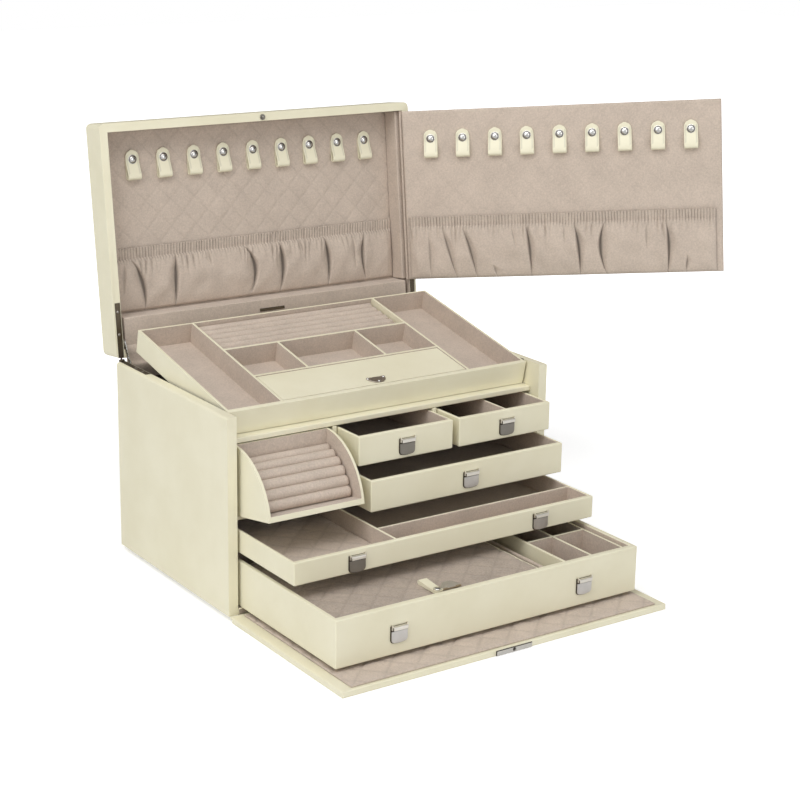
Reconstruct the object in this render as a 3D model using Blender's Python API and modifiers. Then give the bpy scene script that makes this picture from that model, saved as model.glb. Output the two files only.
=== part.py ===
"""Tiered jewelry box in cream leather with a suede interior.

Lengths are metres.  +X is the right of the case as seen from the front, +Y is its back and +Z is up.
The origin lies under the middle of the case, on the underside of its base board.
The box stands open: lid up, wing swung out, tray tilted, ring bin tipped, drawers drawn and door down.
"""

import math

import bmesh
import bpy
from mathutils import Matrix, Vector

# Fits
FIT_GAP = 0.0003
RUN_GAP = 0.0005
CUT_OVERRUN = 0.002
WELD = 0.000001

# Case
CASE_WIDTH = 0.420
CASE_DEPTH = 0.255
CASE_HEIGHT = 0.220
SIDE_THICKNESS = 0.0112
SIDE_TOP_ROUNDING = 0.003
LEATHER_EDGE = 0.0008
BACK_THICKNESS = 0.007
BACK_DROP = 0.004
BASE_THICKNESS = 0.007
FRONT_RECESS = 0.015
DECK_THICKNESS = 0.006
TRAY_WELL_DEPTH = 0.0286
SHELF_THICKNESS = 0.005
# Shelf tops as shares of the clear height between the base and the deck
LOWER_SHELF_SHARE = 0.343049
MIDDLE_SHELF_SHARE = 0.549327
UPPER_SHELF_SHARE = 0.798767
BAY_DIVIDER_LEFT = -0.0717
BAY_DIVIDER_THICKNESS = 0.0057
DRAWER_DIVIDER_LEFT = 0.0602
DRAWER_DIVIDER_THICKNESS = 0.0062
FOOT_HEIGHT = 0.006
FOOT_WIDTH = 0.026
FOOT_INSET = 0.006
FOOT_SOCKET_DEPTH = 0.001

# Lid hinges
HINGE_AXIS_BEHIND = 0.0024
HINGE_LEAF_LENGTH = 0.0625
HINGE_LEAF_WIDTH = 0.0062
HINGE_LEAF_THICKNESS = 0.0012
HINGE_LEAF_EDGE_INSET = 0.0046
HINGE_SETBACK = 0.002
KNUCKLE_RADIUS = 0.0019
KNUCKLE_COUNT = 3
KNUCKLE_GAP = 0.0004

# Lid
LID_OPEN_ANGLE = math.radians(96.5)
LID_SIDE_INSET = 0.002
LID_REAR = 0.0026
LID_FRONT_OVERHANG = 0.0101
LID_HEIGHT = 0.040
LID_SEAM = 0.0004
LID_SIDE_RIM = 0.0095
LID_REAR_RIM = 0.010
LID_FRONT_RIM = 0.010
LID_CORNER_RADIUS = 0.006
LINING_FACE = 0.029
LINING_THICKNESS = 0.0017
POCKET_TOP = 0.1235
POCKET_BOTTOM = 0.0505
POCKET_BAND = 0.013
POCKET_DEPTH = 0.009
POCKET_CLOTH = 0.0011
POCKET_SECTIONS = 56
POCKET_FOLD_WIDTH = 0.0075
APRON_SIDE_ROOM = 0.004
APRON_REAR = 0.014
APRON_FRONT = 0.048
APRON_FACE = 0.003
APRON_PLATE_WIDTH = 0.034
APRON_PLATE_LENGTH = 0.006
APRON_PLATE_THICKNESS = 0.0008
APRON_PLATE_SETBACK = 0.034
CATCH_PIN_RADIUS = 0.0018
CATCH_PIN_LENGTH = 0.0034
CATCH_COLLAR_RADIUS = 0.0034
CATCH_COLLAR_THICKNESS = 0.0007
CATCH_PIN_X = 0.001
CATCH_NOSE_SHARE = 0.33
CATCH_PIN_SETBACK = 0.0055

# Snap hooks on the lining and on the wing
HOOK_COUNT = 9
HOOK_PITCH = 0.0394
HOOK_WIDTH = 0.0166
HOOK_LENGTH = 0.0338
HOOK_THICKNESS = 0.0016
HOOK_LOOP_RADIUS = 0.0026
HOOK_FOOT_SETBACK = 0.0665
LINING_HOOK_FIRST = -0.1575
SNAP_RADIUS = 0.0047
SNAP_HEIGHT = 0.0012
SNAP_FROM_TOP = 0.011
HOOK_SEAT = 0.0006
HOOK_ARC_STEPS = 6
SNAP_SIDES = 12
SNAP_RIM_HEIGHT_SHARE = 0.4
SNAP_DOME_SHARES = ((0.86, 0.62), (0.55, 0.90), (0.22, 1.0))

# Wing
WING_REST_ANGLE = math.radians(136.6)
WING_AXIS_INSET = 0.0118
WING_AXIS_RISE = 0.0008
WING_END_ROOM = 0.0033
WING_START = 0.0023
WING_BOARD_THICKNESS = 0.005
WING_REAR = 0.0495
WING_FRONT_SETBACK = 0.011
WING_BEAD_RADIUS = 0.0018
WING_BLOCK_WIDTH = 0.0066
WING_HOOK_FIRST = 0.0375
WING_POCKET_START = 0.006
WING_POCKET_END_ROOM = 0.0081
WING_POCKET_TOP = 0.1265
WING_HOOK_FOOT_SETBACK = 0.068

# Stay arms
STAY_WIDTH = 0.005
STAY_THICKNESS = 0.001
STAY_LENGTH = 0.0422
STAY_PIVOT_FROM_BACK = 0.018
STAY_PIVOT_DROP = 0.015
STAY_REST_ANGLE = math.radians(58.6)
STAY_WALL_GAP = 0.0005
STAY_PIN_RADIUS = 0.0012

# Tray
TRAY_TILT = math.radians(11.97)
TRAY_SIDE_ROOM = 0.0025
TRAY_REAR_ROOM = 0.0188
TRAY_HEIGHT = 0.0272
TRAY_FRONT_SETBACK = 0.0266
TRAY_LIFT = 0.00147
TRAY_PIVOT_IN = 0.005
TRAY_PIVOT_UP = 0.003
TRAY_PIN_RADIUS = 0.0015
TRAY_FLOOR = 0.004
TRAY_SIDE = 0.003
TRAY_FRONT = 0.006
TRAY_REAR = 0.0025
TRAY_DIVIDER = 0.003
TRAY_LEFT_DIVIDER = -0.128
TRAY_RIGHT_DIVIDER = 0.1175
TRAY_ROLL_DIVIDER_SHARE = 0.646469
TRAY_COVER_DIVIDER_SHARE = 0.322996
TRAY_SMALL_DIVIDER_LEFT = -0.058
TRAY_SMALL_DIVIDER_RIGHT = 0.046
TRAY_LID_THICKNESS = 0.003
TRAY_LID_DROP = 0.0008
TRAY_TAB_RADIUS = 0.012
TRAY_TAB_THICKNESS = 0.0009
TRAY_TAB_X = 0.001
TRAY_TAB_SETBACK = 0.004
TRAY_ROLL_COUNT = 6
TRAY_ROLL_DROP = 0.0045
ROLL_VALLEY_DEPTH = 0.0045
ROLL_ARC_STEPS = 6
ROLL_ROUNDNESS = 0.6

# Ring bin
BIN_OPEN_ANGLE = math.radians(79.8)
BIN_SECTOR_ANGLE = math.radians(79.8)
BIN_PIVOT_IN = 0.003
BIN_PIVOT_RISE = 0.0044
BIN_HEADROOM = 0.001
BIN_SIDE_GAP = 0.005
BIN_FRONT_THICKNESS = 0.006
BIN_WALL = 0.003
BIN_HEEL = 0.0025
BIN_ROLL_DROP = 0.014
BIN_ROLL_SWELL = 0.004
BIN_ROLL_COUNT = 6
BIN_ROLL_FRONT_STRIP = 0.0065
SUEDE_LINING = 0.001
BIN_BOSS_RADIUS = 0.0024
BIN_ARC_STEPS = 16

# Drawers
DRAWER_SIDE = 0.0035
DRAWER_FRONT = 0.006
DRAWER_FLOOR = 0.003
DRAWER_REAR_ROOM = 0.011
DRAWER_DIVIDER = 0.003
RING_DRAWER_LEFT = -0.065
RING_DRAWER_RIGHT = 0.059
RING_DRAWER_OUT = 0.0415
CHAIN_DRAWER_LEFT = 0.0675
CHAIN_DRAWER_ROOM = 0.0038
CHAIN_DRAWER_OUT = 0.0417
CHAIN_DRAWER_DIVIDER_X = 0.1346
MIDDLE_DRAWER_LEFT = -0.0652
MIDDLE_DRAWER_ROOM = 0.0035
MIDDLE_DRAWER_OUT = 0.0665
SMALL_DRAWER_HEADROOM = 0.0029
MIDDLE_DRAWER_HEADROOM = 0.0043
DRAWER_LIFT = 0.0005
SHALLOW_SIDE_ROOM = 0.0034
SHALLOW_HEADROOM = 0.0066
SHALLOW_OUT = 0.1235
SHALLOW_CROSS_X = -0.068
SHALLOW_LONG_FROM_FRONT = 0.0411
DEEP_SIDE_ROOM = 0.0038
DEEP_HEADROOM = 0.0043
DEEP_OUT = 0.2013
DEEP_FRONT = 0.008
DEEP_SIDE = 0.005
QUILT_CUSHION_HEIGHT = 0.0035

# Flap pulls
PULL_WIDTH = 0.021
PULL_HEIGHT = 0.0195
PULL_THICKNESS = 0.0011
PULL_LIP = 0.0045
PULL_LIP_HEIGHT = 0.0035
PULL_LIP_END = 0.0001
PULL_LIP_FLAT_SHARE = 0.33
PULL_CORNER = 0.0045
PULL_FRAME = 0.0012
PULL_FLAP_THICKNESS = 0.0009
RING_PULL_X = -0.003
CHAIN_PULL_X = 0.133
MIDDLE_PULL_X = 0.066
WIDE_PULL_X = 0.120
# How far a pull hangs down its front, as a share of the height that it leaves free
SMALL_PULL_DROP_SHARE = 0.7407407
MIDDLE_PULL_DROP_SHARE = 0.6815287
SHALLOW_PULL_DROP_SHARE = 0.9473684
DEEP_PULL_DROP_SHARE = 0.6296296

# Inside the deep drawer
TRAVEL_SIDE_ROOM = 0.002
TRAVEL_RIGHT = 0.077
TRAVEL_DROP = 0.0129
TRAVEL_WALL = 0.004
TRAVEL_LID_THICKNESS = 0.0042
TRAVEL_FRONT_SETBACK = 0.0023
TRAVEL_REAR_ROOM = 0.035
QUILT_PITCH = 0.0265
QUILT_CROWN = 0.0011
QUILT_EDGE_SHARE = 1.2
STRAP_WIDTH = 0.0105
STRAP_LENGTH = 0.044
STRAP_THICKNESS = 0.0016
STRAP_FOLD_HEIGHT = 0.0050
STRAP_FLAT_LENGTH = 0.014
STRAP_FOLD_STEPS = 6
STRAP_END_RADIUS = 0.0040
STRAP_X = -0.0552
STRAP_FRONT_SETBACK = 0.009
TRAVEL_PULL_X = -0.0370
TRAVEL_PULL_RADIUS = 0.012
TRAVEL_PULL_THICKNESS = 0.001
TRAVEL_PULL_SETBACK = 0.012
TRAVEL_PULL_TILT = math.radians(13)
TRAVEL_PULL_FOOT = 0.0016
DEEP_STRIP_X = 0.0885
DEEP_STRIP_WIDTH = 0.003
INSERT_LEFT = 0.103
INSERT_SIDE_ROOM = 0.0032
INSERT_DROP = 0.0039
INSERT_WALL = 0.0032
INSERT_DIVIDER_X = 0.141
INSERT_CROSS_FROM_FRONT = 0.0803

# Drop-down door
DOOR_SIDE_INSET = 0.0007
DOOR_AXIS_AHEAD = 0.0025
DOOR_AXIS_DROP = 0.001
DOOR_REAR_AHEAD = 0.0046
DOOR_TOP_ROOM = 0.0031
DOOR_TOP = 0.001
DOOR_THICKNESS = 0.007
DOOR_ROLL_RADIUS = 0.0018
DOOR_PAD_SIDE_EDGE = 0.0128
DOOR_PAD_HEIGHT = 0.0026
DOOR_PAD_EDGE = 0.004
DOOR_PAD_REAR = 0.004
LOCK_PLATE_WIDTH = 0.046
LOCK_PLATE_HEIGHT = 0.0056
LOCK_PLATE_THICKNESS = 0.001
LOCK_HOLE_RADIUS = 0.0021
LOCK_SIDES = 24

# Colours
CREAM = (0.80, 0.76, 0.62, 1.0)
SUEDE = (0.51, 0.42, 0.355, 1.0)
NICKEL = (0.62, 0.60, 0.57, 1.0)
BRONZE = (0.10, 0.08, 0.055, 1.0)
STEEL = (0.70, 0.70, 0.68, 1.0)

BACK_Y = CASE_DEPTH / 2
FRONT_Y = -CASE_DEPTH / 2
SHELF_FRONT_Y = FRONT_Y + FRONT_RECESS
WALL_X = CASE_WIDTH / 2 - SIDE_THICKNESS
LID_AXIS_Y = BACK_Y + HINGE_AXIS_BEHIND
DECK_TOP = CASE_HEIGHT - TRAY_WELL_DEPTH
DECK_UNDER = DECK_TOP - DECK_THICKNESS
TIER_SPACE = DECK_UNDER - BASE_THICKNESS
LOWER_SHELF_TOP = BASE_THICKNESS + TIER_SPACE * LOWER_SHELF_SHARE
MIDDLE_SHELF_TOP = BASE_THICKNESS + TIER_SPACE * MIDDLE_SHELF_SHARE
UPPER_SHELF_TOP = BASE_THICKNESS + TIER_SPACE * UPPER_SHELF_SHARE
LID_HALF_WIDTH = CASE_WIDTH / 2 - LID_SIDE_INSET
LID_FRONT = CASE_DEPTH + HINGE_AXIS_BEHIND + LID_FRONT_OVERHANG
APRON_HALF_WIDTH = LID_HALF_WIDTH - LID_SIDE_RIM - APRON_SIDE_ROOM
CATCH_PIN_FROM_AXIS = LID_FRONT - CATCH_PIN_SETBACK
HOOK_FOOT = LID_FRONT - HOOK_FOOT_SETBACK
WING_AXIS_X = LID_HALF_WIDTH - WING_AXIS_INSET
WING_LENGTH = WING_AXIS_X * 2 - WING_END_ROOM
WING_FRONT = LID_FRONT - WING_FRONT_SETBACK
WING_POCKET_END = WING_LENGTH - WING_POCKET_END_ROOM
WING_HOOK_FOOT = LID_FRONT - WING_HOOK_FOOT_SETBACK
STAY_PIVOT_HEIGHT = CASE_HEIGHT - STAY_PIVOT_DROP
TRAY_HALF_WIDTH = WALL_X - TRAY_SIDE_ROOM
TRAY_DEPTH = CASE_DEPTH - TRAY_FRONT_SETBACK - TRAY_REAR_ROOM
TRAY_ROLL_DIVIDER = TRAY_DEPTH * TRAY_ROLL_DIVIDER_SHARE
TRAY_COVER_DIVIDER = TRAY_DEPTH * TRAY_COVER_DIVIDER_SHARE
BIN_PIVOT_HEIGHT = MIDDLE_SHELF_TOP + BIN_PIVOT_RISE
BIN_RADIUS = DECK_UNDER - BIN_HEADROOM - BIN_PIVOT_HEIGHT
BIN_ROLL_CREST = BIN_RADIUS - BIN_ROLL_DROP
BIN_ROLL_VALLEY = BIN_ROLL_CREST - BIN_ROLL_SWELL
DRAWER_DEPTH = CASE_DEPTH - FRONT_RECESS - BACK_THICKNESS - DRAWER_REAR_ROOM
CHAIN_DRAWER_RIGHT = WALL_X - CHAIN_DRAWER_ROOM
MIDDLE_DRAWER_RIGHT = WALL_X - MIDDLE_DRAWER_ROOM
SMALL_DRAWER_HEIGHT = DECK_UNDER - UPPER_SHELF_TOP - SMALL_DRAWER_HEADROOM
MIDDLE_DRAWER_HEIGHT = UPPER_SHELF_TOP - SHELF_THICKNESS - MIDDLE_SHELF_TOP - MIDDLE_DRAWER_HEADROOM
SHALLOW_HALF_WIDTH = WALL_X - SHALLOW_SIDE_ROOM
SHALLOW_HEIGHT = MIDDLE_SHELF_TOP - SHELF_THICKNESS - LOWER_SHELF_TOP - SHALLOW_HEADROOM
DEEP_HALF_WIDTH = WALL_X - DEEP_SIDE_ROOM
DEEP_HEIGHT = LOWER_SHELF_TOP - SHELF_THICKNESS - BASE_THICKNESS - DEEP_HEADROOM
TRAVEL_LEFT = -DEEP_HALF_WIDTH + DEEP_SIDE + TRAVEL_SIDE_ROOM
TRAVEL_TOP = BASE_THICKNESS + DRAWER_LIFT + DEEP_HEIGHT - TRAVEL_DROP
TRAVEL_DEPTH = DRAWER_DEPTH - TRAVEL_REAR_ROOM
INSERT_RIGHT = DEEP_HALF_WIDTH - DEEP_SIDE - INSERT_SIDE_ROOM
INSERT_TOP = BASE_THICKNESS + DRAWER_LIFT + DEEP_HEIGHT - INSERT_DROP
DOOR_HALF_WIDTH = CASE_WIDTH / 2 - DOOR_SIDE_INSET
DOOR_PAD_HALF_WIDTH = DOOR_HALF_WIDTH - DOOR_PAD_SIDE_EDGE
DOOR_LENGTH = CASE_HEIGHT - DOOR_TOP_ROOM


def clear_scene():
    """Start from an empty scene."""
    for item in list(bpy.data.objects):
        bpy.data.objects.remove(item, do_unlink=True)


def make_collection(name):
    """A collection linked to the scene."""
    collection = bpy.data.collections.new(name)
    bpy.context.scene.collection.children.link(collection)
    return collection


clear_scene()
PARTS = make_collection("tiered_jewelry_box")
CUTTERS = make_collection("cutters")


def material(name, colour, roughness, metallic):
    """A Principled material of one colour."""
    surface = bpy.data.materials.new(name)
    surface.use_nodes = True
    shader = surface.node_tree.nodes["Principled BSDF"]
    shader.inputs["Base Color"].default_value = colour
    shader.inputs["Roughness"].default_value = roughness
    shader.inputs["Metallic"].default_value = metallic
    return surface


LEATHER = material("cream_leather", CREAM, 0.45, 0.0)
LINING = material("taupe_suede", SUEDE, 0.95, 0.0)
PLATED = material("brushed_nickel", NICKEL, 0.3, 1.0)
DARK_METAL = material("dark_bronze", BRONZE, 0.45, 1.0)
BRIGHT_STEEL = material("bright_steel", STEEL, 0.25, 1.0)


def place(name, mesh, surface, parent=None, collection=None):
    """An object for a mesh, in the space of its parent empty."""
    item = bpy.data.objects.new(name, mesh)
    (collection or PARTS).objects.link(item)
    if surface is not None:
        mesh.materials.clear()
        mesh.materials.append(surface)
    item.parent = parent
    return item


def joint_empty(name, location, axis_turn=0.0, axis="X", parent=None):
    """An empty on a joint's axis, turned from the closed box to its rest angle."""
    empty = bpy.data.objects.new(name, None)
    PARTS.objects.link(empty)
    empty.parent = parent
    empty.location = location
    empty.rotation_euler = Matrix.Rotation(axis_turn, 4, axis).to_euler()
    return empty


def box_mesh(name, low, high):
    """A box between two corners."""
    low = Vector(low)
    high = Vector(high)
    shape = bmesh.new()
    bmesh.ops.create_cube(shape, size=1.0)
    size = high - low
    bmesh.ops.scale(shape, vec=size, verts=shape.verts)
    bmesh.ops.translate(shape, vec=(low + high) / 2, verts=shape.verts)
    mesh = bpy.data.meshes.new(name)
    shape.to_mesh(mesh)
    shape.free()
    return mesh


def bevel_edges(mesh, radius, segments, chosen):
    """Round the edges that the test picks from their two end points."""
    shape = bmesh.new()
    shape.from_mesh(mesh)
    edges = [edge for edge in shape.edges if chosen(edge.verts[0].co, edge.verts[1].co)]
    bmesh.ops.bevel(shape, geom=edges, offset=radius, segments=segments, profile=0.5, affect="EDGES")
    shape.to_mesh(mesh)
    shape.free()


def soften(item, radius, segments=1):
    """Leather turned over a board's edges."""
    rounding = item.modifiers.new("turned edges", "BEVEL")
    rounding.width = radius
    rounding.segments = segments
    rounding.limit_method = "ANGLE"
    rounding.angle_limit = math.radians(50)


def board(name, low, high, surface, parent=None, edge=LEATHER_EDGE):
    """A covered board with softly turned edges."""
    item = place(name, box_mesh(name, low, high), surface, parent)
    if edge:
        soften(item, edge)
    return item


def join_meshes(name, meshes):
    """One mesh that holds several separate shells."""
    shape = bmesh.new()
    for mesh in meshes:
        shape.from_mesh(mesh)
    joined = bpy.data.meshes.new(name)
    shape.to_mesh(joined)
    shape.free()
    return joined


def boolean(item, meshes, operation):
    """Cut away or join on the given meshes, which share the object's space."""
    for number, mesh in enumerate(meshes):
        tool = place(f"{item.name}_{operation.lower()}_{number}", mesh, None, item.parent, CUTTERS)
        tool.hide_render = True
        tool.display_type = "WIRE"
        step = item.modifiers.new(f"{operation.lower()} {number}", "BOOLEAN")
        step.operation = operation
        step.solver = "EXACT"
        step.object = tool


def cut(item, *meshes):
    """Cut the meshes away."""
    boolean(item, meshes, "DIFFERENCE")


def join(item, *meshes):
    """Join the meshes on."""
    boolean(item, meshes, "UNION")


def outline_mesh(name, points, thickness, turn):
    """A flat outline with half its thickness to each side, turned from the XY plane by a matrix."""
    curve = bpy.data.curves.new(name, "CURVE")
    curve.dimensions = "2D"
    curve.fill_mode = "BOTH"
    curve.extrude = thickness / 2
    spline = curve.splines.new("POLY")
    spline.points.add(len(points) - 1)
    for point, (across, along) in zip(spline.points, points):
        point.co = (across, along, 0.0, 1.0)
    spline.use_cyclic_u = True
    holder = bpy.data.objects.new(name, curve)
    bpy.context.scene.collection.objects.link(holder)
    graph = bpy.context.evaluated_depsgraph_get()
    mesh = bpy.data.meshes.new_from_object(holder.evaluated_get(graph))
    bpy.data.objects.remove(holder, do_unlink=True)
    bpy.data.curves.remove(curve)
    shape = bmesh.new()
    shape.from_mesh(mesh)
    bmesh.ops.remove_doubles(shape, verts=shape.verts, dist=WELD)
    bmesh.ops.dissolve_degenerate(shape, edges=shape.edges, dist=WELD)
    bmesh.ops.recalc_face_normals(shape, faces=shape.faces)
    shape.to_mesh(mesh)
    shape.free()
    mesh.transform(turn)
    return mesh


# An outline drawn in (Y, Z) and extruded along X
ALONG_X = Matrix(((0, 0, 1, 0), (1, 0, 0, 0), (0, 1, 0, 0), (0, 0, 0, 1)))
# An outline drawn in (X, Z) and extruded along Y
ALONG_Y = Matrix(((1, 0, 0, 0), (0, 0, -1, 0), (0, 1, 0, 0), (0, 0, 0, 1)))


def shift(x, y, z):
    """A move as a matrix."""
    return Matrix.Translation((x, y, z))


def arc(centre, radius, start, end, steps):
    """Points along an arc, both ends included."""
    points = []
    for step in range(steps + 1):
        angle = start + (end - start) * step / steps
        points.append((centre[0] + radius * math.cos(angle), centre[1] + radius * math.sin(angle)))
    return points


def rod_mesh(name, radius, length, centre, axis, sides=20):
    """A round bar along X, Y or Z."""
    shape = bmesh.new()
    bmesh.ops.create_cone(
        shape, cap_ends=True, segments=sides, radius1=radius, radius2=radius, depth=length)
    turns = {
        "X": Matrix.Rotation(math.pi / 2, 4, "Y"),
        "Y": Matrix.Rotation(math.pi / 2, 4, "X"),
        "Z": Matrix.Identity(4),
    }
    bmesh.ops.transform(shape, matrix=shift(*centre) @ turns[axis], verts=shape.verts)
    mesh = bpy.data.meshes.new(name)
    shape.to_mesh(mesh)
    shape.free()
    return mesh


def shade_round(item):
    """Smooth shading with sharp rims."""
    item.data.shade_smooth()
    item.data.set_sharp_from_angle(angle=math.radians(40))


def loft_mesh(name, sections):
    """A closed skin through rings of the same count of points, with flat ends."""
    shape = bmesh.new()
    rings = [[shape.verts.new(point) for point in section] for section in sections]
    count = len(rings[0])
    for before, after in zip(rings, rings[1:]):
        for spot in range(count):
            following = (spot + 1) % count
            shape.faces.new((before[spot], before[following], after[following], after[spot]))
    shape.faces.new(rings[0][::-1])
    shape.faces.new(rings[-1])
    bmesh.ops.recalc_face_normals(shape, faces=shape.faces)
    mesh = bpy.data.meshes.new(name)
    shape.to_mesh(mesh)
    shape.free()
    return mesh


# Case

def case_panels():
    """Side, back and base boards, and four feet let into sockets under the base."""
    for side, name in ((-1, "left"), (1, "right")):
        outer = side * CASE_WIDTH / 2
        inner = side * WALL_X
        mesh = box_mesh(f"side_panel_{name}", (min(outer, inner), FRONT_Y, 0.0),
                        (max(outer, inner), BACK_Y, CASE_HEIGHT))
        bevel_edges(mesh, SIDE_TOP_ROUNDING, 3,
                    lambda a, b: min(a.z, b.z) > CASE_HEIGHT / 2 and abs(a.x - outer) < WELD
                    and abs(b.x - outer) < WELD)
        panel = place(f"side_panel_{name}", mesh, LEATHER)
        leaf = leaf_box(side)
        cut(panel, box_mesh("leaf_mortise",
                            (leaf[0] - FIT_GAP, leaf_rear_y() - HINGE_LEAF_LENGTH - FIT_GAP,
                             CASE_HEIGHT - HINGE_LEAF_THICKNESS - FIT_GAP),
                            (leaf[1] + FIT_GAP, BACK_Y + CUT_OVERRUN, CASE_HEIGHT + CUT_OVERRUN)))
    inner_x = WALL_X - FIT_GAP
    base = board("base_panel", (-inner_x, FRONT_Y, 0.0), (inner_x, BACK_Y, BASE_THICKNESS), LEATHER)
    board("back_panel", (-inner_x, BACK_Y - BACK_THICKNESS, BASE_THICKNESS + FIT_GAP),
          (inner_x, BACK_Y, CASE_HEIGHT - BACK_DROP), LEATHER)
    for side_x, across in ((-1, "left"), (1, "right")):
        for side_y, along in ((-1, "front"), (1, "rear")):
            x = side_x * (CASE_WIDTH / 2 - SIDE_THICKNESS - FOOT_INSET - FOOT_WIDTH / 2)
            y = side_y * (CASE_DEPTH / 2 - FOOT_INSET - FOOT_WIDTH / 2)
            low_x, high_x = x - FOOT_WIDTH / 2, x + FOOT_WIDTH / 2
            low_y, high_y = y - FOOT_WIDTH / 2, y + FOOT_WIDTH / 2
            board(f"foot_{along}_{across}", (low_x, low_y, -FOOT_HEIGHT),
                  (high_x, high_y, FOOT_SOCKET_DEPTH - FIT_GAP), LEATHER)
            cut(base, box_mesh("foot_socket", (low_x - FIT_GAP, low_y - FIT_GAP, -CUT_OVERRUN),
                               (high_x + FIT_GAP, high_y + FIT_GAP, FOOT_SOCKET_DEPTH)))


def case_shelves():
    """The deck under the tray, three shelves and the two upright dividers."""
    inner_x = WALL_X - FIT_GAP
    rear = BACK_Y - BACK_THICKNESS - FIT_GAP
    bay_right = BAY_DIVIDER_LEFT + BAY_DIVIDER_THICKNESS
    board("tray_deck", (-inner_x, SHELF_FRONT_Y, DECK_UNDER), (inner_x, rear, DECK_TOP), LEATHER)
    board("middle_shelf", (-inner_x, SHELF_FRONT_Y, MIDDLE_SHELF_TOP - SHELF_THICKNESS),
          (inner_x, rear, MIDDLE_SHELF_TOP), LEATHER)
    board("lower_shelf", (-inner_x, SHELF_FRONT_Y, LOWER_SHELF_TOP - SHELF_THICKNESS),
          (inner_x, rear, LOWER_SHELF_TOP), LEATHER)
    board("upper_shelf", (bay_right + FIT_GAP, SHELF_FRONT_Y, UPPER_SHELF_TOP - SHELF_THICKNESS),
          (inner_x, rear, UPPER_SHELF_TOP), LEATHER)
    board("ring_bay_divider", (BAY_DIVIDER_LEFT, SHELF_FRONT_Y, MIDDLE_SHELF_TOP + FIT_GAP),
          (bay_right, rear, DECK_UNDER - FIT_GAP), LEATHER)
    board("small_drawer_divider", (DRAWER_DIVIDER_LEFT, SHELF_FRONT_Y, UPPER_SHELF_TOP + FIT_GAP),
          (DRAWER_DIVIDER_LEFT + DRAWER_DIVIDER_THICKNESS, rear, DECK_UNDER - FIT_GAP), LEATHER)


# Lid hinges

def leaf_box(side):
    """Low and high X of a hinge leaf."""
    outer = side * (CASE_WIDTH / 2 - HINGE_LEAF_EDGE_INSET)
    inner = outer - side * HINGE_LEAF_WIDTH
    return min(outer, inner), max(outer, inner)


def leaf_rear_y():
    """Y of the rear end of the leaf's flat, just inside the back of the case."""
    return BACK_Y - HINGE_SETBACK / 2


def knuckles(low_x, high_x, centre_y, centre_z, outer_ones):
    """The knuckles of one leaf, taking turns with the other leaf's."""
    share = (high_x - low_x) / KNUCKLE_COUNT
    meshes = []
    for number in range(KNUCKLE_COUNT):
        if (number % 2 == 0) == outer_ones:
            start = low_x + share * number + KNUCKLE_GAP / 2
            end = low_x + share * (number + 1) - KNUCKLE_GAP / 2
            meshes.append(rod_mesh("knuckle", KNUCKLE_RADIUS, end - start,
                                   ((start + end) / 2, centre_y, centre_z), "X", 16))
    return meshes


def knuckle_arms(low_x, high_x, outer_ones, start_y, end_y, low_z, high_z):
    """The tongues that run from a leaf to its knuckles."""
    share = (high_x - low_x) / KNUCKLE_COUNT
    meshes = []
    for number in range(KNUCKLE_COUNT):
        if (number % 2 == 0) == outer_ones:
            start = low_x + share * number + KNUCKLE_GAP / 2
            end = low_x + share * (number + 1) - KNUCKLE_GAP / 2
            meshes.append(box_mesh("tongue", (start, min(start_y, end_y), low_z),
                                   (end, max(start_y, end_y), high_z)))
    return meshes


def case_hinge_leaves():
    """The leaf let into the top of each side panel."""
    for side, name in ((-1, "left"), (1, "right")):
        low_x, high_x = leaf_box(side)
        top = CASE_HEIGHT
        under = top - HINGE_LEAF_THICKNESS
        item = place(f"case_hinge_leaf_{name}",
                     box_mesh("leaf", (low_x, leaf_rear_y() - HINGE_LEAF_LENGTH, under),
                              (high_x, leaf_rear_y(), top)), DARK_METAL)
        join(item, *knuckle_arms(low_x, high_x, True, leaf_rear_y() - HINGE_SETBACK, LID_AXIS_Y,
                                 under, top))
        join(item, *knuckles(low_x, high_x, LID_AXIS_Y, CASE_HEIGHT, True))


def lid_hinge_leaves(lid):
    """The leaf let into the lid's rim, with the middle knuckle."""
    for side, name in ((-1, "left"), (1, "right")):
        low_x, high_x = leaf_box(side)
        start = -LID_REAR - HINGE_SETBACK / 2
        item = place(f"lid_hinge_leaf_{name}",
                     box_mesh("leaf", (low_x, start - HINGE_LEAF_LENGTH, LID_SEAM),
                              (high_x, start, LID_SEAM + HINGE_LEAF_THICKNESS)), DARK_METAL, lid)
        join(item, *knuckle_arms(low_x, high_x, False, start - HINGE_SETBACK, 0.0,
                                 LID_SEAM, LID_SEAM + HINGE_LEAF_THICKNESS))
        join(item, *knuckles(low_x, high_x, 0.0, 0.0, False))


def dome_mesh(name, foot, outward):
    """Snap cap on a leather face at foot: a low rim, then a dome, out along +Z or -Z."""
    levels = [(1.0, -HOOK_SEAT), (1.0, SNAP_HEIGHT * SNAP_RIM_HEIGHT_SHARE)]
    levels += [(across, SNAP_HEIGHT * up) for across, up in SNAP_DOME_SHARES]
    sections = []
    for across, height in levels:
        radius = SNAP_RADIUS * across
        turns = [math.tau * spot / SNAP_SIDES for spot in range(SNAP_SIDES)]
        sections.append([(foot[0] + radius * math.cos(turn), foot[1] + radius * math.sin(turn),
                          foot[2] + outward * height) for turn in turns])
    return loft_mesh(name, sections)


# Lid, modelled closed: the hinge axis is the empty's X axis, -Y runs to the front and +Z to the lid's top

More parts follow.
